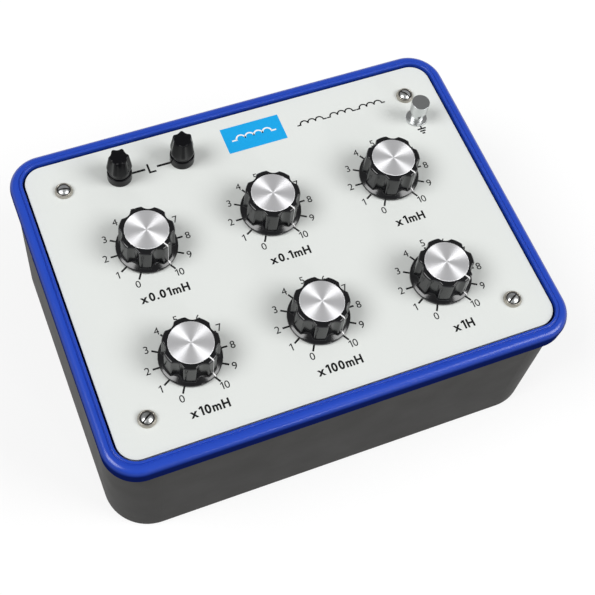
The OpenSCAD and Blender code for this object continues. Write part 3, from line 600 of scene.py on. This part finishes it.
# Frame
def frame_section(outer):
    """Outline of the frame's section in millimetres: X out from the corner's centre, Z above the panel."""
    inner, ledge, wall = 12, 7, 12.5
    lip, band, foot = 1.8, 1.0, -10
    under, seat = -5.5, -3
    # The outer edge is a quarter of a circle, from the band down to the side
    bend = 4.1
    quarter = []
    for k in range(15):
        turn = math.pi * k / 28
        quarter.append((outer - bend + bend * math.sin(turn), band - bend + bend * math.cos(turn), 0))
    return fillet([
        (ledge, under), (ledge, seat, 0), (inner - 0.15, seat, 0.2), (inner, lip, 0.4),
        (inner + 1.3, lip, 0.4), (inner + 1.5, band - 0.3, 0.1), (inner + 2, band - 0.3, 0.1),
        (inner + 2.2, band, 0.1), *quarter, (outer - 0.4, foot + 0.3, 0.3), (outer - 0.7, foot, 0),
        (wall, foot, 0.3), (wall, under, 0), (ledge, under),
    ], 0.3, 6)


class DECADE_OT_frame(bpy.types.Operator):
    """Sweeps the stepped section of the frame around the panel"""

    bl_idname = "decade.frame"
    bl_label = "Frame"

    def execute(self, context):
        corner_r = 19
        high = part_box("bezel_frame")[1]
        cx, cy = high[0] - corner_r * MM, high[1] - corner_r * MM
        obj = chain("frame", frame_section(corner_r), (cx, cy, PANEL_Z))
        bpy.ops.mesh.remove_doubles(threshold=1e-6)
        bpy.ops.mesh.spin(steps=20, angle=math.pi / 2, center=(cx, cy, 0), axis=(0, 0, -1))
        # The two ends of the corner run on to the middle of each side
        choose(obj, lambda p: abs(p.y - cy) < 1e-6 and p.x > cx + MM)
        bpy.ops.mesh.extrude_region_move(TRANSFORM_OT_translate={"value": (0, -cy, 0)})
        choose(obj, lambda p: abs(p.x - cx) < 1e-6 and p.y > cy + MM)
        bpy.ops.mesh.extrude_region_move(TRANSFORM_OT_translate={"value": (-cx, 0, 0)})
        apply_modifier(obj, "MIRROR", use_axis=(True, True, False), merge_threshold=1e-6)
        tidy_mesh(obj, 30)
        paint(obj, made("frame", frame_paint))
        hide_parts("bezel_frame")
        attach(obj, "box")
        return {"FINISHED"}


# Knobs
def hollow(angle, count, radius, depth, cutter, ease, inset=0.0):
    """Depth of the hollow between lobes at an angle from a lobe's middle, below a wall set in by the inset.

    A round cutter of its own radius sinks into a wall by the depth, and the ease rounds the hollow's edges.
    """
    step = 2 * math.pi / count
    phi = abs((angle % step) - step / 2)
    d = radius - depth + cutter
    inside = cutter**2 - (d * math.sin(phi)) ** 2
    cut = radius - (d * math.cos(phi) - math.sqrt(inside)) if inside > 0 else -depth
    cut = max(cut, -depth) - inset
    # The last term brings the plain wall beside the hollow back to nought
    return max(0.0, (cut + math.sqrt(cut * cut + ease * ease)) / 2 - 0.04 * ease)


def grip_outline(rise=0.0):
    """The ring's edge, the grip's foot and the skirt's edge in millimetres, lifted by the rise."""
    s = sizes()
    edges = ((s.ring_r, s.knob_top, 1.1), (s.grip_r, s.grip_foot, 0.7), (s.skirt_r, s.skirt_top, 0.45))
    return [(r / MM + rise, z / MM + rise, radius) for r, z, radius in edges]


class DECADE_OT_knobs(bpy.types.Operator):
    """Turns a skirted knob, presses seven hollows into its grip and sets six of them"""

    bl_idname = "decade.knobs"
    bl_label = "Knobs"

    def execute(self, context):
        s = sizes()
        top, skirt = s.knob_top / MM, s.skirt_r / MM
        recess, recess_z = s.disc_r / MM + 0.08, top - 1
        under, pocket, pocket_z = 0.8, 10, 4.8
        obj = turned("knob_master", fillet([
            (0, recess_z), (recess, recess_z, 0), (recess, top, 0.08), *grip_outline(),
            (skirt, under, 0.25), (pocket, under, 0.2), (pocket, pocket_z, 0.2), (0, pocket_z),
        ], 0.3, 5), steps=280, angle=40)
        slope = (s.grip_foot - s.skirt_top) / (s.skirt_r - s.grip_r)
        for v in obj.data.vertices:
            r = math.hypot(v.co.x, v.co.y)
            if r < s.disc_r + 0.1 * MM or v.co.z < s.skirt_top - 0.3 * MM:
                continue
            # Towards the top the hollows get shallower and their edges rounder
            climb = max(0.0, min(1.0, (v.co.z - s.grip_foot) / (s.knob_top - s.grip_foot)))
            depth = s.scallop_depth * (1 - 0.12 * climb)
            ease = (0.7 + 0.4 * climb) * MM
            dent = hollow(math.atan2(v.co.y, v.co.x), KNOB_LOBES, s.grip_r, depth, s.scallop_r, ease)
            if v.co.z >= s.grip_foot - 0.1 * MM and r < s.grip_r + 0.1 * MM:
                wall = s.grip_r + (s.ring_r - s.grip_r) * climb
                share = (r - s.disc_r) / (wall - s.disc_r)
                new_r = s.disc_r + share * (wall - dent - s.disc_r)
                new_z = v.co.z + dent * slope * (1 - climb)
            else:
                # The skirt follows the hollow's foot and fades out at its rim
                share = max(0.0, min(1.0, (s.skirt_r - r) / (s.skirt_r - s.grip_r)))
                new_r = r - share * dent
                new_z = v.co.z + share * dent * slope
            v.co = Vector((v.co.x / r * new_r, v.co.y / r * new_r, new_z))
        tidy_mesh(obj, 60)
        paint(obj, black())
        for i, (x, y) in enumerate(KNOBS, 1):
            knob = settle(twin(obj, "grip_%d" % i), (x, y, PANEL_Z), POINTER_TURN)
            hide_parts("knob_%d" % i)
            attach(knob, "knob_%d" % i)
        drop(obj)
        return {"FINISHED"}


class DECADE_OT_discs(bpy.types.Operator):
    """Turns the aluminium disc for each knob, with rings around its middle"""

    bl_idname = "decade.discs"
    bl_label = "Discs"

    def execute(self, context):
        r = sizes().disc_r / MM
        low, top = sizes().knob_top / MM - 0.98, sizes().knob_top / MM + 0.2
        obj = turned("disc_master", fillet([
            (0, low), (r - 0.2, low, 0.05), (r, low + 0.3, 0.1), (r, top - 0.1, 0.06), (r - 0.16, top, 0.1),
            (0, top),
        ], 0.1, 3), steps=128, angle=30)
        # U runs round the disc and V out from its middle, unbroken within each face
        rings = obj.data.uv_layers.new(name="Rings")
        obj.data.uv_layers.active = rings
        for face in obj.data.polygons:
            mid = math.atan2(face.center.y, face.center.x)
            for loop in face.loop_indices:
                p = obj.data.vertices[obj.data.loops[loop].vertex_index].co
                reach = math.hypot(p.x, p.y)
                turn = math.atan2(p.y, p.x) - mid if reach > 1e-7 else 0.0
                turn = (turn + math.pi) % (2 * math.pi) - math.pi
                rings.data[loop].uv = ((mid + turn) / (2 * math.pi), reach / sizes().disc_r)
        paint(obj, made("disc", turned_aluminium))
        for i, (x, y) in enumerate(KNOBS, 1):
            disc = settle(twin(obj, "disc_%d" % i), (x, y, PANEL_Z))
            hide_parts("knob_disc_%d" % i)
            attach(disc, "knob_%d" % i)
        drop(obj)
        return {"FINISHED"}


class DECADE_OT_pointers(bpy.types.Operator):
    """Lays the white line over the ring, the grip and the skirt of each knob"""

    bl_idname = "decade.pointers"
    bl_label = "Pointers"

    def execute(self, context):
        s = sizes()
        out = 0.03
        start, end = (s.disc_r / MM + 0.1, s.knob_top / MM + out), (s.skirt_r / MM + out, 1.0)
        line = fillet([start, *grip_outline(out), end], 0.3, 5)
        obj = chain("pointer_master", line, (0, -s.pointer_w / 2, 0))
        bpy.ops.mesh.extrude_region_move(TRANSFORM_OT_translate={"value": (0, s.pointer_w, 0)})
        # The fill is wide on the ring and worn thin down the grip
        choose(obj, lambda p: s.grip_foot + 0.28 * MM < p.z < s.knob_top - 0.9 * MM)
        bpy.ops.transform.resize(value=(1, 0.35, 1), center_override=(0, 0, 0))
        apply_modifier(obj, "SOLIDIFY", thickness=0.1 * MM, offset=-1)
        tidy_mesh(obj, 30)
        paint(obj, made("pointer", groove_fill))
        for i, (x, y) in enumerate(KNOBS, 1):
            mark = settle(twin(obj, "pointer_%d" % i), (x, y, PANEL_Z), POINTER_TURN)
            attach(mark, "knob_%d" % i)
        drop(obj)
        return {"FINISHED"}


# Terminals
class DECADE_OT_terminals(bpy.types.Operator):
    """Turns the collars and the fluted caps of the line terminals"""

    bl_idname = "decade.terminals"
    bl_label = "Line terminals"

    def execute(self, context):
        s = sizes()
        collar_r, collar_h = s.collar_r / MM, s.collar_h / MM
        bore, step_r, step = 2.1, 4.6, collar_h - 0.1
        collar = turned("collar_master", fillet([
            (bore, 0), (collar_r, 0), (collar_r, collar_h, 0.5), (step_r, collar_h, 0), (step_r, step, 0),
            (bore, step),
        ], 0.2, 6))
        paint(collar, dull_black())
        # The cap in millimetres: a plain band at its foot, a belly, and a wall that leans in to the shoulder
        wide, high = s.cap_r / MM, s.cap_top / MM
        band, narrow, recess = 6.1, 5.6, 4.7
        low, ledge, belly, shoulder = collar_h + 0.2, 7.7, 10.6, high - 0.8
        lean = (wide - narrow) / (shoulder - belly)
        swell = []
        for k in range(11):
            bulge = math.sin(math.pi * k / 20) ** 0.6
            swell.append((band + (wide - band) * bulge, ledge + (belly - ledge) * (k / 10) ** 1.5, 0))
        crown = [(r, high - 0.25 * (r / 4.6) ** 2, 0) for r in (4.1, 3.6, 3.0, 2.4, 1.7, 1.0)]
        cap = turned("cap_master", fillet([
            (0, low + 0.9), (recess, low + 0.9, 0), (recess, low, 0.1), (band, low, 0.3), *swell,
            (wide - 0.5 * lean, belly + 0.5, 0), (narrow, shoulder, 0), (narrow - 0.12, high - 0.45, 0),
            (narrow - 0.42, high - 0.24, 0), (narrow - 0.8, high - 0.2, 0), *crown, (0, high),
        ], 0.3, 8), steps=216, angle=50)
        cutter, ease = 4.5 * MM, 0.7 * MM
        for v in cap.data.vertices:
            r = math.hypot(v.co.x, v.co.y)
            z = v.co.z / MM
            if r < 0.5 * MM or z < ledge:
                continue
            wall = (wide - lean * (min(z, shoulder) - belly)) * MM
            inset = wall - r if z < belly else 0.0
            dent = hollow(math.atan2(v.co.y, v.co.x), CAP_LOBES, wall, 0.155 * wall, cutter, ease, inset)
            share = min(1.0, r / wall) if z > belly else 1.0
            k = 1 - dent * share / r
            v.co.x *= k
            v.co.y *= k
            # The top sinks a little between the lobes
            if z > high - 2:
                v.co.z -= 0.55 * dent * share**2 * (1 - (high - z) / 2)
        tidy_mesh(cap, 50)
        paint(cap, dull_black())
        collars = []
        for side, turn in (("left", -9), ("right", 16)):
            x, y = CAPS[side]
            one = settle(twin(cap, "fluted_cap_" + side), (x, y, PANEL_Z), math.radians(turn))
            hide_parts("cap_" + side)
            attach(one, "cap_" + side)
            collars.append(settle(twin(collar, "collar_" + side), (x, y, PANEL_Z)))
        collars = joined("collar_pair", collars)
        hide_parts("terminal_collars")
        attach(collars, "box")
        drop(cap)
        drop(collar)
        return {"FINISHED"}


class DECADE_OT_earth(bpy.types.Operator):
    """Turns the bright earth terminal: flange, neck and round head"""

    bl_idname = "decade.earth"
    bl_label = "Earth terminal"

    def execute(self, context):
        bore, neck, flange, parting = 2.05, 3.75, 6.0, 4
        base = turned("earth_flange", fillet([
            (bore, 0), (flange, 0), (flange, 0.9, 0.2), (neck, 1.0, 0.06), (neck, parting, 0.1),
            (bore, parting),
        ], 0.2, 5), angle=30)
        paint(base, satin_nickel())
        settle(base, (*EARTH, PANEL_Z))
        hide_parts("earth_base")
        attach(base, "box")
        round_r, top = sizes().earth_r / MM, sizes().earth_top / MM
        foot = parting + 0.02
        head = turned("earth_round_head", fillet([
            (3.05, foot), (neck, foot, 0.1), (neck, 7.5, 0.1), (round_r - 0.4, 7.8, 0.1), (round_r, 8.2, 0.1),
            (round_r, top, 0.12), (0, top),
        ], 0.2, 5), angle=30)
        paint(head, nickel())
        settle(head, (*EARTH, PANEL_Z))
        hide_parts("earth_head")
        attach(head, "earth_head")
        return {"FINISHED"}


# Panel screws
class DECADE_OT_screws(bpy.types.Operator):
    """Turns the cup washers and the domed screws, and cuts the driving slot"""

    bl_idname = "decade.screws"
    bl_label = "Panel screws"

    def execute(self, context):
        washer_r, slot_w = sizes().washer_r, sizes().slot_w
        bore, cup_r = 1.95, washer_r / MM
        cup = turned("washer_master", fillet([
            (bore, 0), (cup_r, 0), (cup_r, 0.4, 0.2), (cup_r - 0.4, 1.5, 0.5), (cup_r - 0.75, 2.1, 0.3),
            (cup_r - 1.05, 2.08, 0.15), (bore, 0.2), (bore, 0),
        ], 0.2, 6), angle=40)
        paint(cup, plate("worn_nickel_plate", linear("#B9B4AA"), 0.3, 0.42))
        cup.data.materials.append(made("slot", slot_tarnish))
        # The inside of the cup is dark up to its rim: painted shade
        for face in cup.data.polygons:
            inward = face.normal.x * face.center.x + face.normal.y * face.center.y < 0
            if inward and face.center.z < 1.9 * MM:
                face.material_index = 1
        # The head's dome in millimetres is the cap of a ball, as high as the bulge over the rim
        head_r, rim, bulge, shank, tip = 3.2, 1.59, 1.2, 1.75, -12.9
        ball = (head_r**2 + bulge**2) / (2 * bulge)
        middle_z = rim + bulge - ball
        dome = [(r, middle_z + math.sqrt(ball**2 - r * r), 0) for r in (3.1, 2.8, 2.4, 2.0, 1.5, 1.0, 0.5, 0)]
        head = turned("screw_master", fillet([
            (0, tip), (shank, tip, 0), (shank, 0.15, 0), (head_r - 0.03, rim - 0.03, 0.05), *dome,
        ], 0.05, 3), angle=40)
        solo()
        bpy.ops.mesh.primitive_cube_add(size=1, location=(0, 0, 0))
        bit = bpy.context.object
        slot_z, bit_h = (rim + bulge - 1.5) * MM, 3 * MM
        bit.scale = (9 * MM, slot_w, bit_h)
        settle(bit, (0, 0, slot_z + bit_h / 2))
        apply_modifier(head, "BOOLEAN", object=bit, operation="DIFFERENCE", solver="EXACT")
        drop(bit)
        tidy_mesh(head)
        paint(head, satin_nickel())
        head.data.materials.append(made("slot", slot_tarnish))
        # The slot's walls and floor take the dark metal: painted shade
        for face in head.data.polygons:
            wall = abs(face.normal.y) > 0.9 and abs(abs(face.center.y) - slot_w / 2) < 0.01 * MM
            floor = face.normal.z > 0.9 and abs(face.center.z - slot_z) < 0.01 * MM
            if (wall or floor) and face.center.z > slot_z - 0.09 * MM:
                face.material_index = 1
        cups, heads = [], []
        low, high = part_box("cup_washers")
        reach_x = (high[0] - low[0]) / 2 - washer_r
        reach_y = (high[1] - low[1]) / 2 - washer_r
        for i, (sx, sy, turn) in enumerate([(-1, -1, 33), (-1, 1, -10), (1, -1, 28), (1, 1, -58)]):
            place = (sx * reach_x, sy * reach_y, PANEL_Z)
            cups.append(settle(twin(cup, "washer_%d" % i), place))
            heads.append(settle(twin(head, "screw_%d" % i), place, math.radians(turn)))
        cups = joined("cup_washer_set", cups)
        heads = joined("panel_screw_set", heads)
        for piece, node in ((cups, "cup_washers"), (heads, "panel_screws")):
            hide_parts(node)
            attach(piece, "box")
        drop(cup)
        drop(head)
        return {"FINISHED"}


# Print on the panel
class DECADE_OT_dials(bpy.types.Operator):
    """Prints the ticks and the numbers nought to ten around each knob"""

    bl_idname = "decade.dials"
    bl_label = "Dials"

    def execute(self, context):
        s = sizes()
        figures = []
        for mark in range(DIAL_MARKS):
            figures.append(word("figure_%d" % mark, str(mark), s.number_h, (0, 0), weight=0.003))
        # A tick starts just under the skirt, so that no gap shows
        tick_start = s.skirt_r - 0.4 * MM
        ticks, numbers = [], []
        for x, y in KNOBS:
            hub = Vector((x, y))
            for mark in range(DIAL_MARKS):
                angle = math.radians(DIAL_START - DIAL_STEP * mark)
                way = Vector((math.cos(angle), math.sin(angle)))
                ticks.append(bar("tick", hub + way * tick_start, hub + way * s.tick_r, s.tick_w))
                spot = hub + way * s.number_r
                numbers.append(settle(twin(figures[mark], "number"), (spot.x, spot.y, 0)))
        for master in figures:
            drop(master)
        for piece in (joined("dial_ticks", ticks), joined("dial_numbers", numbers)):
            paint(piece, ink())
            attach(piece, "box")
        return {"FINISHED"}


class DECADE_OT_legends(bpy.types.Operator):
    """Prints the multiplier below each knob, the letter between the terminals and the earth sign"""

    bl_idname = "decade.legends"
    bl_label = "Legends"

    def execute(self, context):
        s = sizes()
        words = []
        for text, (x, y) in zip(LEGENDS, KNOBS):
            place = (x, y - s.legend_drop)
            words.append(word("legend", text, s.legend_h, place, weight=0.036, squeeze=0.93, gap=0.12))
        # The letter stands midway between the terminals, with a lead to each collar
        left, y = CAPS["left"]
        right = CAPS["right"][0]
        mid = (left + right) / 2
        tall, stroke, lead = 3.0 * MM, 1.1 * MM, 1.3 * MM
        stem, foot = mid - 1.4 * MM, y - 2.6 * MM
        collar, gap = 6.4 * MM, 3.4 * MM
        words.append(bar("letter_stem", (stem, y + tall), (stem, y - tall), stroke))
        words.append(bar("letter_foot", (stem - stroke / 2, foot), (mid + 2.2 * MM, foot), stroke))
        words.append(bar("lead_left", (left + collar, y), (mid - gap, y), lead))
        words.append(bar("lead_right", (mid + gap, y), (right - collar, y), lead))
        # The earth sign hangs from the flange: a stub and three bars that get shorter
        x, y = EARTH
        start, first, pitch = y - 5.8 * MM, y - 7.6 * MM, 1.5 * MM
        words.append(bar("earth_stub", (x, start), (x, first), 0.9 * MM))
        for i, half in enumerate((2.55 * MM, 1.7 * MM, 0.85 * MM)):
            level = first - pitch * i
            words.append(bar("earth_bar", (x - half, level), (x + half, level), 0.95 * MM))
        piece = joined("panel_legends", words)
        paint(piece, ink())
        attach(piece, "box")
        return {"FINISHED"}


def coil_sign(name, place, loops, radius, width, lead):
    """A coil drawn as half rings in a row between two leads, flat on the panel."""
    parts = []
    inner, outer = (radius - width / 2) / MM, (radius + width / 2) / MM
    for i in range(loops):
        obj = chain("half_ring", [(inner, 0), (outer, 0)])
        bpy.ops.mesh.spin(steps=24, angle=math.pi, center=(0, 0, 0), axis=(0, 0, -1))
        x = place[0] + (2 * i - loops + 1) * radius
        parts.append(settle(obj, (x, place[1], PANEL_Z + 2 * sizes().print_t)))
    for side in (-1, 1):
        a = place[0] + side * (loops * radius - width / 2)
        piece = bar("lead", (a, place[1]), (a + side * lead, place[1]), width)
        piece.data.transform(Matrix.Translation((0, 0, sizes().print_t)))
        parts.append(piece)
    return joined(name, parts)


class DECADE_OT_patch(bpy.types.Operator):
    """Prints the blue patch with a plain coil sign, and a plain row of coils beside it"""

    bl_idname = "decade.patch"
    bl_label = "Patch"

    def execute(self, context):
        s = sizes()
        x, y = 9.3 * MM, 72.3 * MM
        patch = flat("blue_patch", s.patch_w, s.patch_d, (x, y))
        edit(patch)
        bpy.ops.mesh.bevel(offset=0.15 * MM, segments=3, affect="VERTICES")
        solo(patch)
        paint(patch, made("patch", screen_ink, "screen_ink_blue", colours().patch))
        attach(patch, "box")
        below = y - 0.9 * MM
        sign = coil_sign("patch_coil", (x, below), loops=4, radius=2.6 * MM, width=0.9 * MM, lead=3.2 * MM)
        paint(sign, made("pointer", groove_fill))
        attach(sign, "box")
        first, pitch, level = 43.5 * MM, 18.1 * MM, 69.5 * MM
        row = []
        for i in range(3):
            place = (first + pitch * i, level)
            row.append(coil_sign("coil", place, loops=3, radius=2.3 * MM, width=0.8 * MM, lead=2.4 * MM))
        row = joined("coil_row", row)
        paint(row, ink())
        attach(row, "box")
        return {"FINISHED"}


# Stage
def camera_matrix():
    """The photograph's viewpoint, found from the dial marks."""
    right = Vector((0.9304018, -0.35997216, 0.0690836)).normalized()
    ahead = Vector((0.22924509, 0.42440729, -0.87597097)).normalized()
    up = right.cross(ahead)
    place = Vector((-0.17002, -0.29339, 0.66571))
    return Matrix((
        (right.x, up.x, -ahead.x, place.x),
        (right.y, up.y, -ahead.y, place.y),
        (right.z, up.z, -ahead.z, place.z),
        (0, 0, 0, 1),
    ))


def soft_lamp(name, aim, spread, power):
    """A wide soft lamp that shines along a direction, as a large far softbox does."""
    bpy.ops.object.light_add(type="SUN", location=tuple(-1.5 * c for c in aim))
    lamp = bpy.context.object
    lamp.name = name
    lamp.data.energy = power
    lamp.data.angle = math.radians(spread)
    lamp.rotation_euler = Vector(aim).to_track_quat("-Z", "Y").to_euler()


def studio_world(scene):
    """White to the camera; the object sees walls that are pale near the floor and darker overhead."""
    world = bpy.data.worlds.new("studio")
    scene.world = world
    world.use_nodes = True
    light = world.node_tree.nodes["Background"]
    light.inputs["Color"].default_value = (1, 1, 1, 1)
    place = add_node(world, "ShaderNodeTexCoord")
    split = add_node(world, "ShaderNodeSeparateXYZ", {"Vector": place.outputs["Generated"]})
    # From the sine of the angle above the horizon to a strength
    span = add_node(world, "ShaderNodeMapRange", {"Value": split.outputs["Z"], "From Min": 0.06,
                                                  "From Max": 0.3, "To Min": 0.85, "To Max": 0.23},
                    interpolation_type="SMOOTHSTEP")
    path = add_node(world, "ShaderNodeLightPath")
    seen = add_node(world, "ShaderNodeMath", {0: span.outputs["Result"], 1: path.outputs["Is Camera Ray"]},
                    operation="MAXIMUM")
    link(world, seen.outputs["Value"], light.inputs["Strength"])


def floor_paper():
    # Matt paper: white with the object's shadow to the camera and in mirrors, and it throws back little light
    mat = bpy.data.materials.new("matt_paper_floor")
    mat.use_nodes = True
    dull = mat.node_tree.nodes["Principled BSDF"]
    for key, value in (("Base Color", (0.4, 0.4, 0.4, 1)), ("Roughness", 1.0), ("Specular IOR Level", 0.0)):
        dull.inputs[key].default_value = value
    path = add_node(mat, "ShaderNodeLightPath")
    mirrors = add_node(mat, "ShaderNodeMath", {0: path.outputs["Is Glossy Ray"],
                                               1: path.outputs["Is Transmission Ray"]}, operation="MAXIMUM")
    seen = add_node(mat, "ShaderNodeMath", {0: path.outputs["Is Camera Ray"], 1: mirrors.outputs["Value"]},
                    operation="MAXIMUM")
    pale = add_node(mat, "ShaderNodeBsdfDiffuse", {"Color": (1, 1, 1, 1)})
    glow = add_node(mat, "ShaderNodeEmission", {"Strength": 1.0})
    paper = add_node(mat, "ShaderNodeMixShader", {"Fac": 0.78, 1: pale.outputs["BSDF"],
                                                  2: glow.outputs["Emission"]})
    mix = add_node(mat, "ShaderNodeMixShader", {"Fac": seen.outputs["Value"], 1: dull.outputs["BSDF"],
                                                2: paper.outputs["Shader"]})
    link(mat, mix.outputs["Shader"], mat.node_tree.nodes["Material Output"].inputs["Surface"])
    return mat


class DECADE_OT_stage(bpy.types.Operator):
    """Sets the floor, the lamps, the surroundings and the camera"""

    bl_idname = "decade.stage"
    bl_label = "Stage"

    def execute(self, context):
        scene = context.scene
        solo()
        bpy.ops.mesh.primitive_plane_add(size=60, location=(0, 0, 0))
        floor = bpy.context.object
        floor.name = "floor"
        floor.data.materials.append(floor_paper())
        studio_world(scene)
        soft_lamp("left_lamp", (0.634, -0.022, -0.773), spread=32, power=1.87)
        soft_lamp("right_lamp", (-0.61, 0.393, -0.686), spread=32, power=1.73)
        soft_lamp("front_lamp", (-0.229, 0.875, -0.4235), spread=8, power=0.2)
        bpy.ops.object.camera_add()
        camera = bpy.context.object
        camera.name = "camera"
        camera.matrix_world = camera_matrix()
        camera.data.sensor_width = 36
        camera.data.lens = FOCAL / PICTURE * camera.data.sensor_width
        camera.data.shift_x = SHIFT_X / PICTURE
        camera.data.shift_y = SHIFT_Y / PICTURE
        camera.data.clip_start = 0.01
        scene.camera = camera
        scene.view_settings.view_transform = "Standard"
        return {"FINISHED"}


STEPS = (
    DECADE_OT_stage,
    DECADE_OT_finishes,
    DECADE_OT_frame,
    DECADE_OT_knobs,
    DECADE_OT_discs,
    DECADE_OT_pointers,
    DECADE_OT_terminals,
    DECADE_OT_earth,
    DECADE_OT_screws,
    DECADE_OT_dials,
    DECADE_OT_legends,
    DECADE_OT_patch,
)


class DECADE_PT_panel(bpy.types.Panel):
    bl_label = "Decade Box"
    bl_idname = "DECADE_PT_panel"
    bl_space_type = "VIEW_3D"
    bl_region_type = "UI"
    bl_category = "Decade Box"

    def draw(self, context):
        for step in STEPS:
            self.layout.operator(step.bl_idname)
        for group in (context.scene.decade_colours, context.scene.decade_sizes):
            for key in group.__annotations__:
                self.layout.prop(group, key)


CLASSES = (DecadeColours, DecadeSizes, *STEPS, DECADE_PT_panel)


def register():
    for one in CLASSES:
        bpy.utils.register_class(one)
    bpy.types.Scene.decade_colours = bpy.props.PointerProperty(type=DecadeColours)
    bpy.types.Scene.decade_sizes = bpy.props.PointerProperty(type=DecadeSizes)


def unregister():
    del bpy.types.Scene.decade_sizes
    del bpy.types.Scene.decade_colours
    for one in reversed(CLASSES):
        bpy.utils.unregister_class(one)


def main():
    register()
    for step in STEPS:
        area, name = step.bl_idname.split(".")
        getattr(getattr(bpy.ops, area), name)()
    solo()


if __name__ == "__main__":
    main()
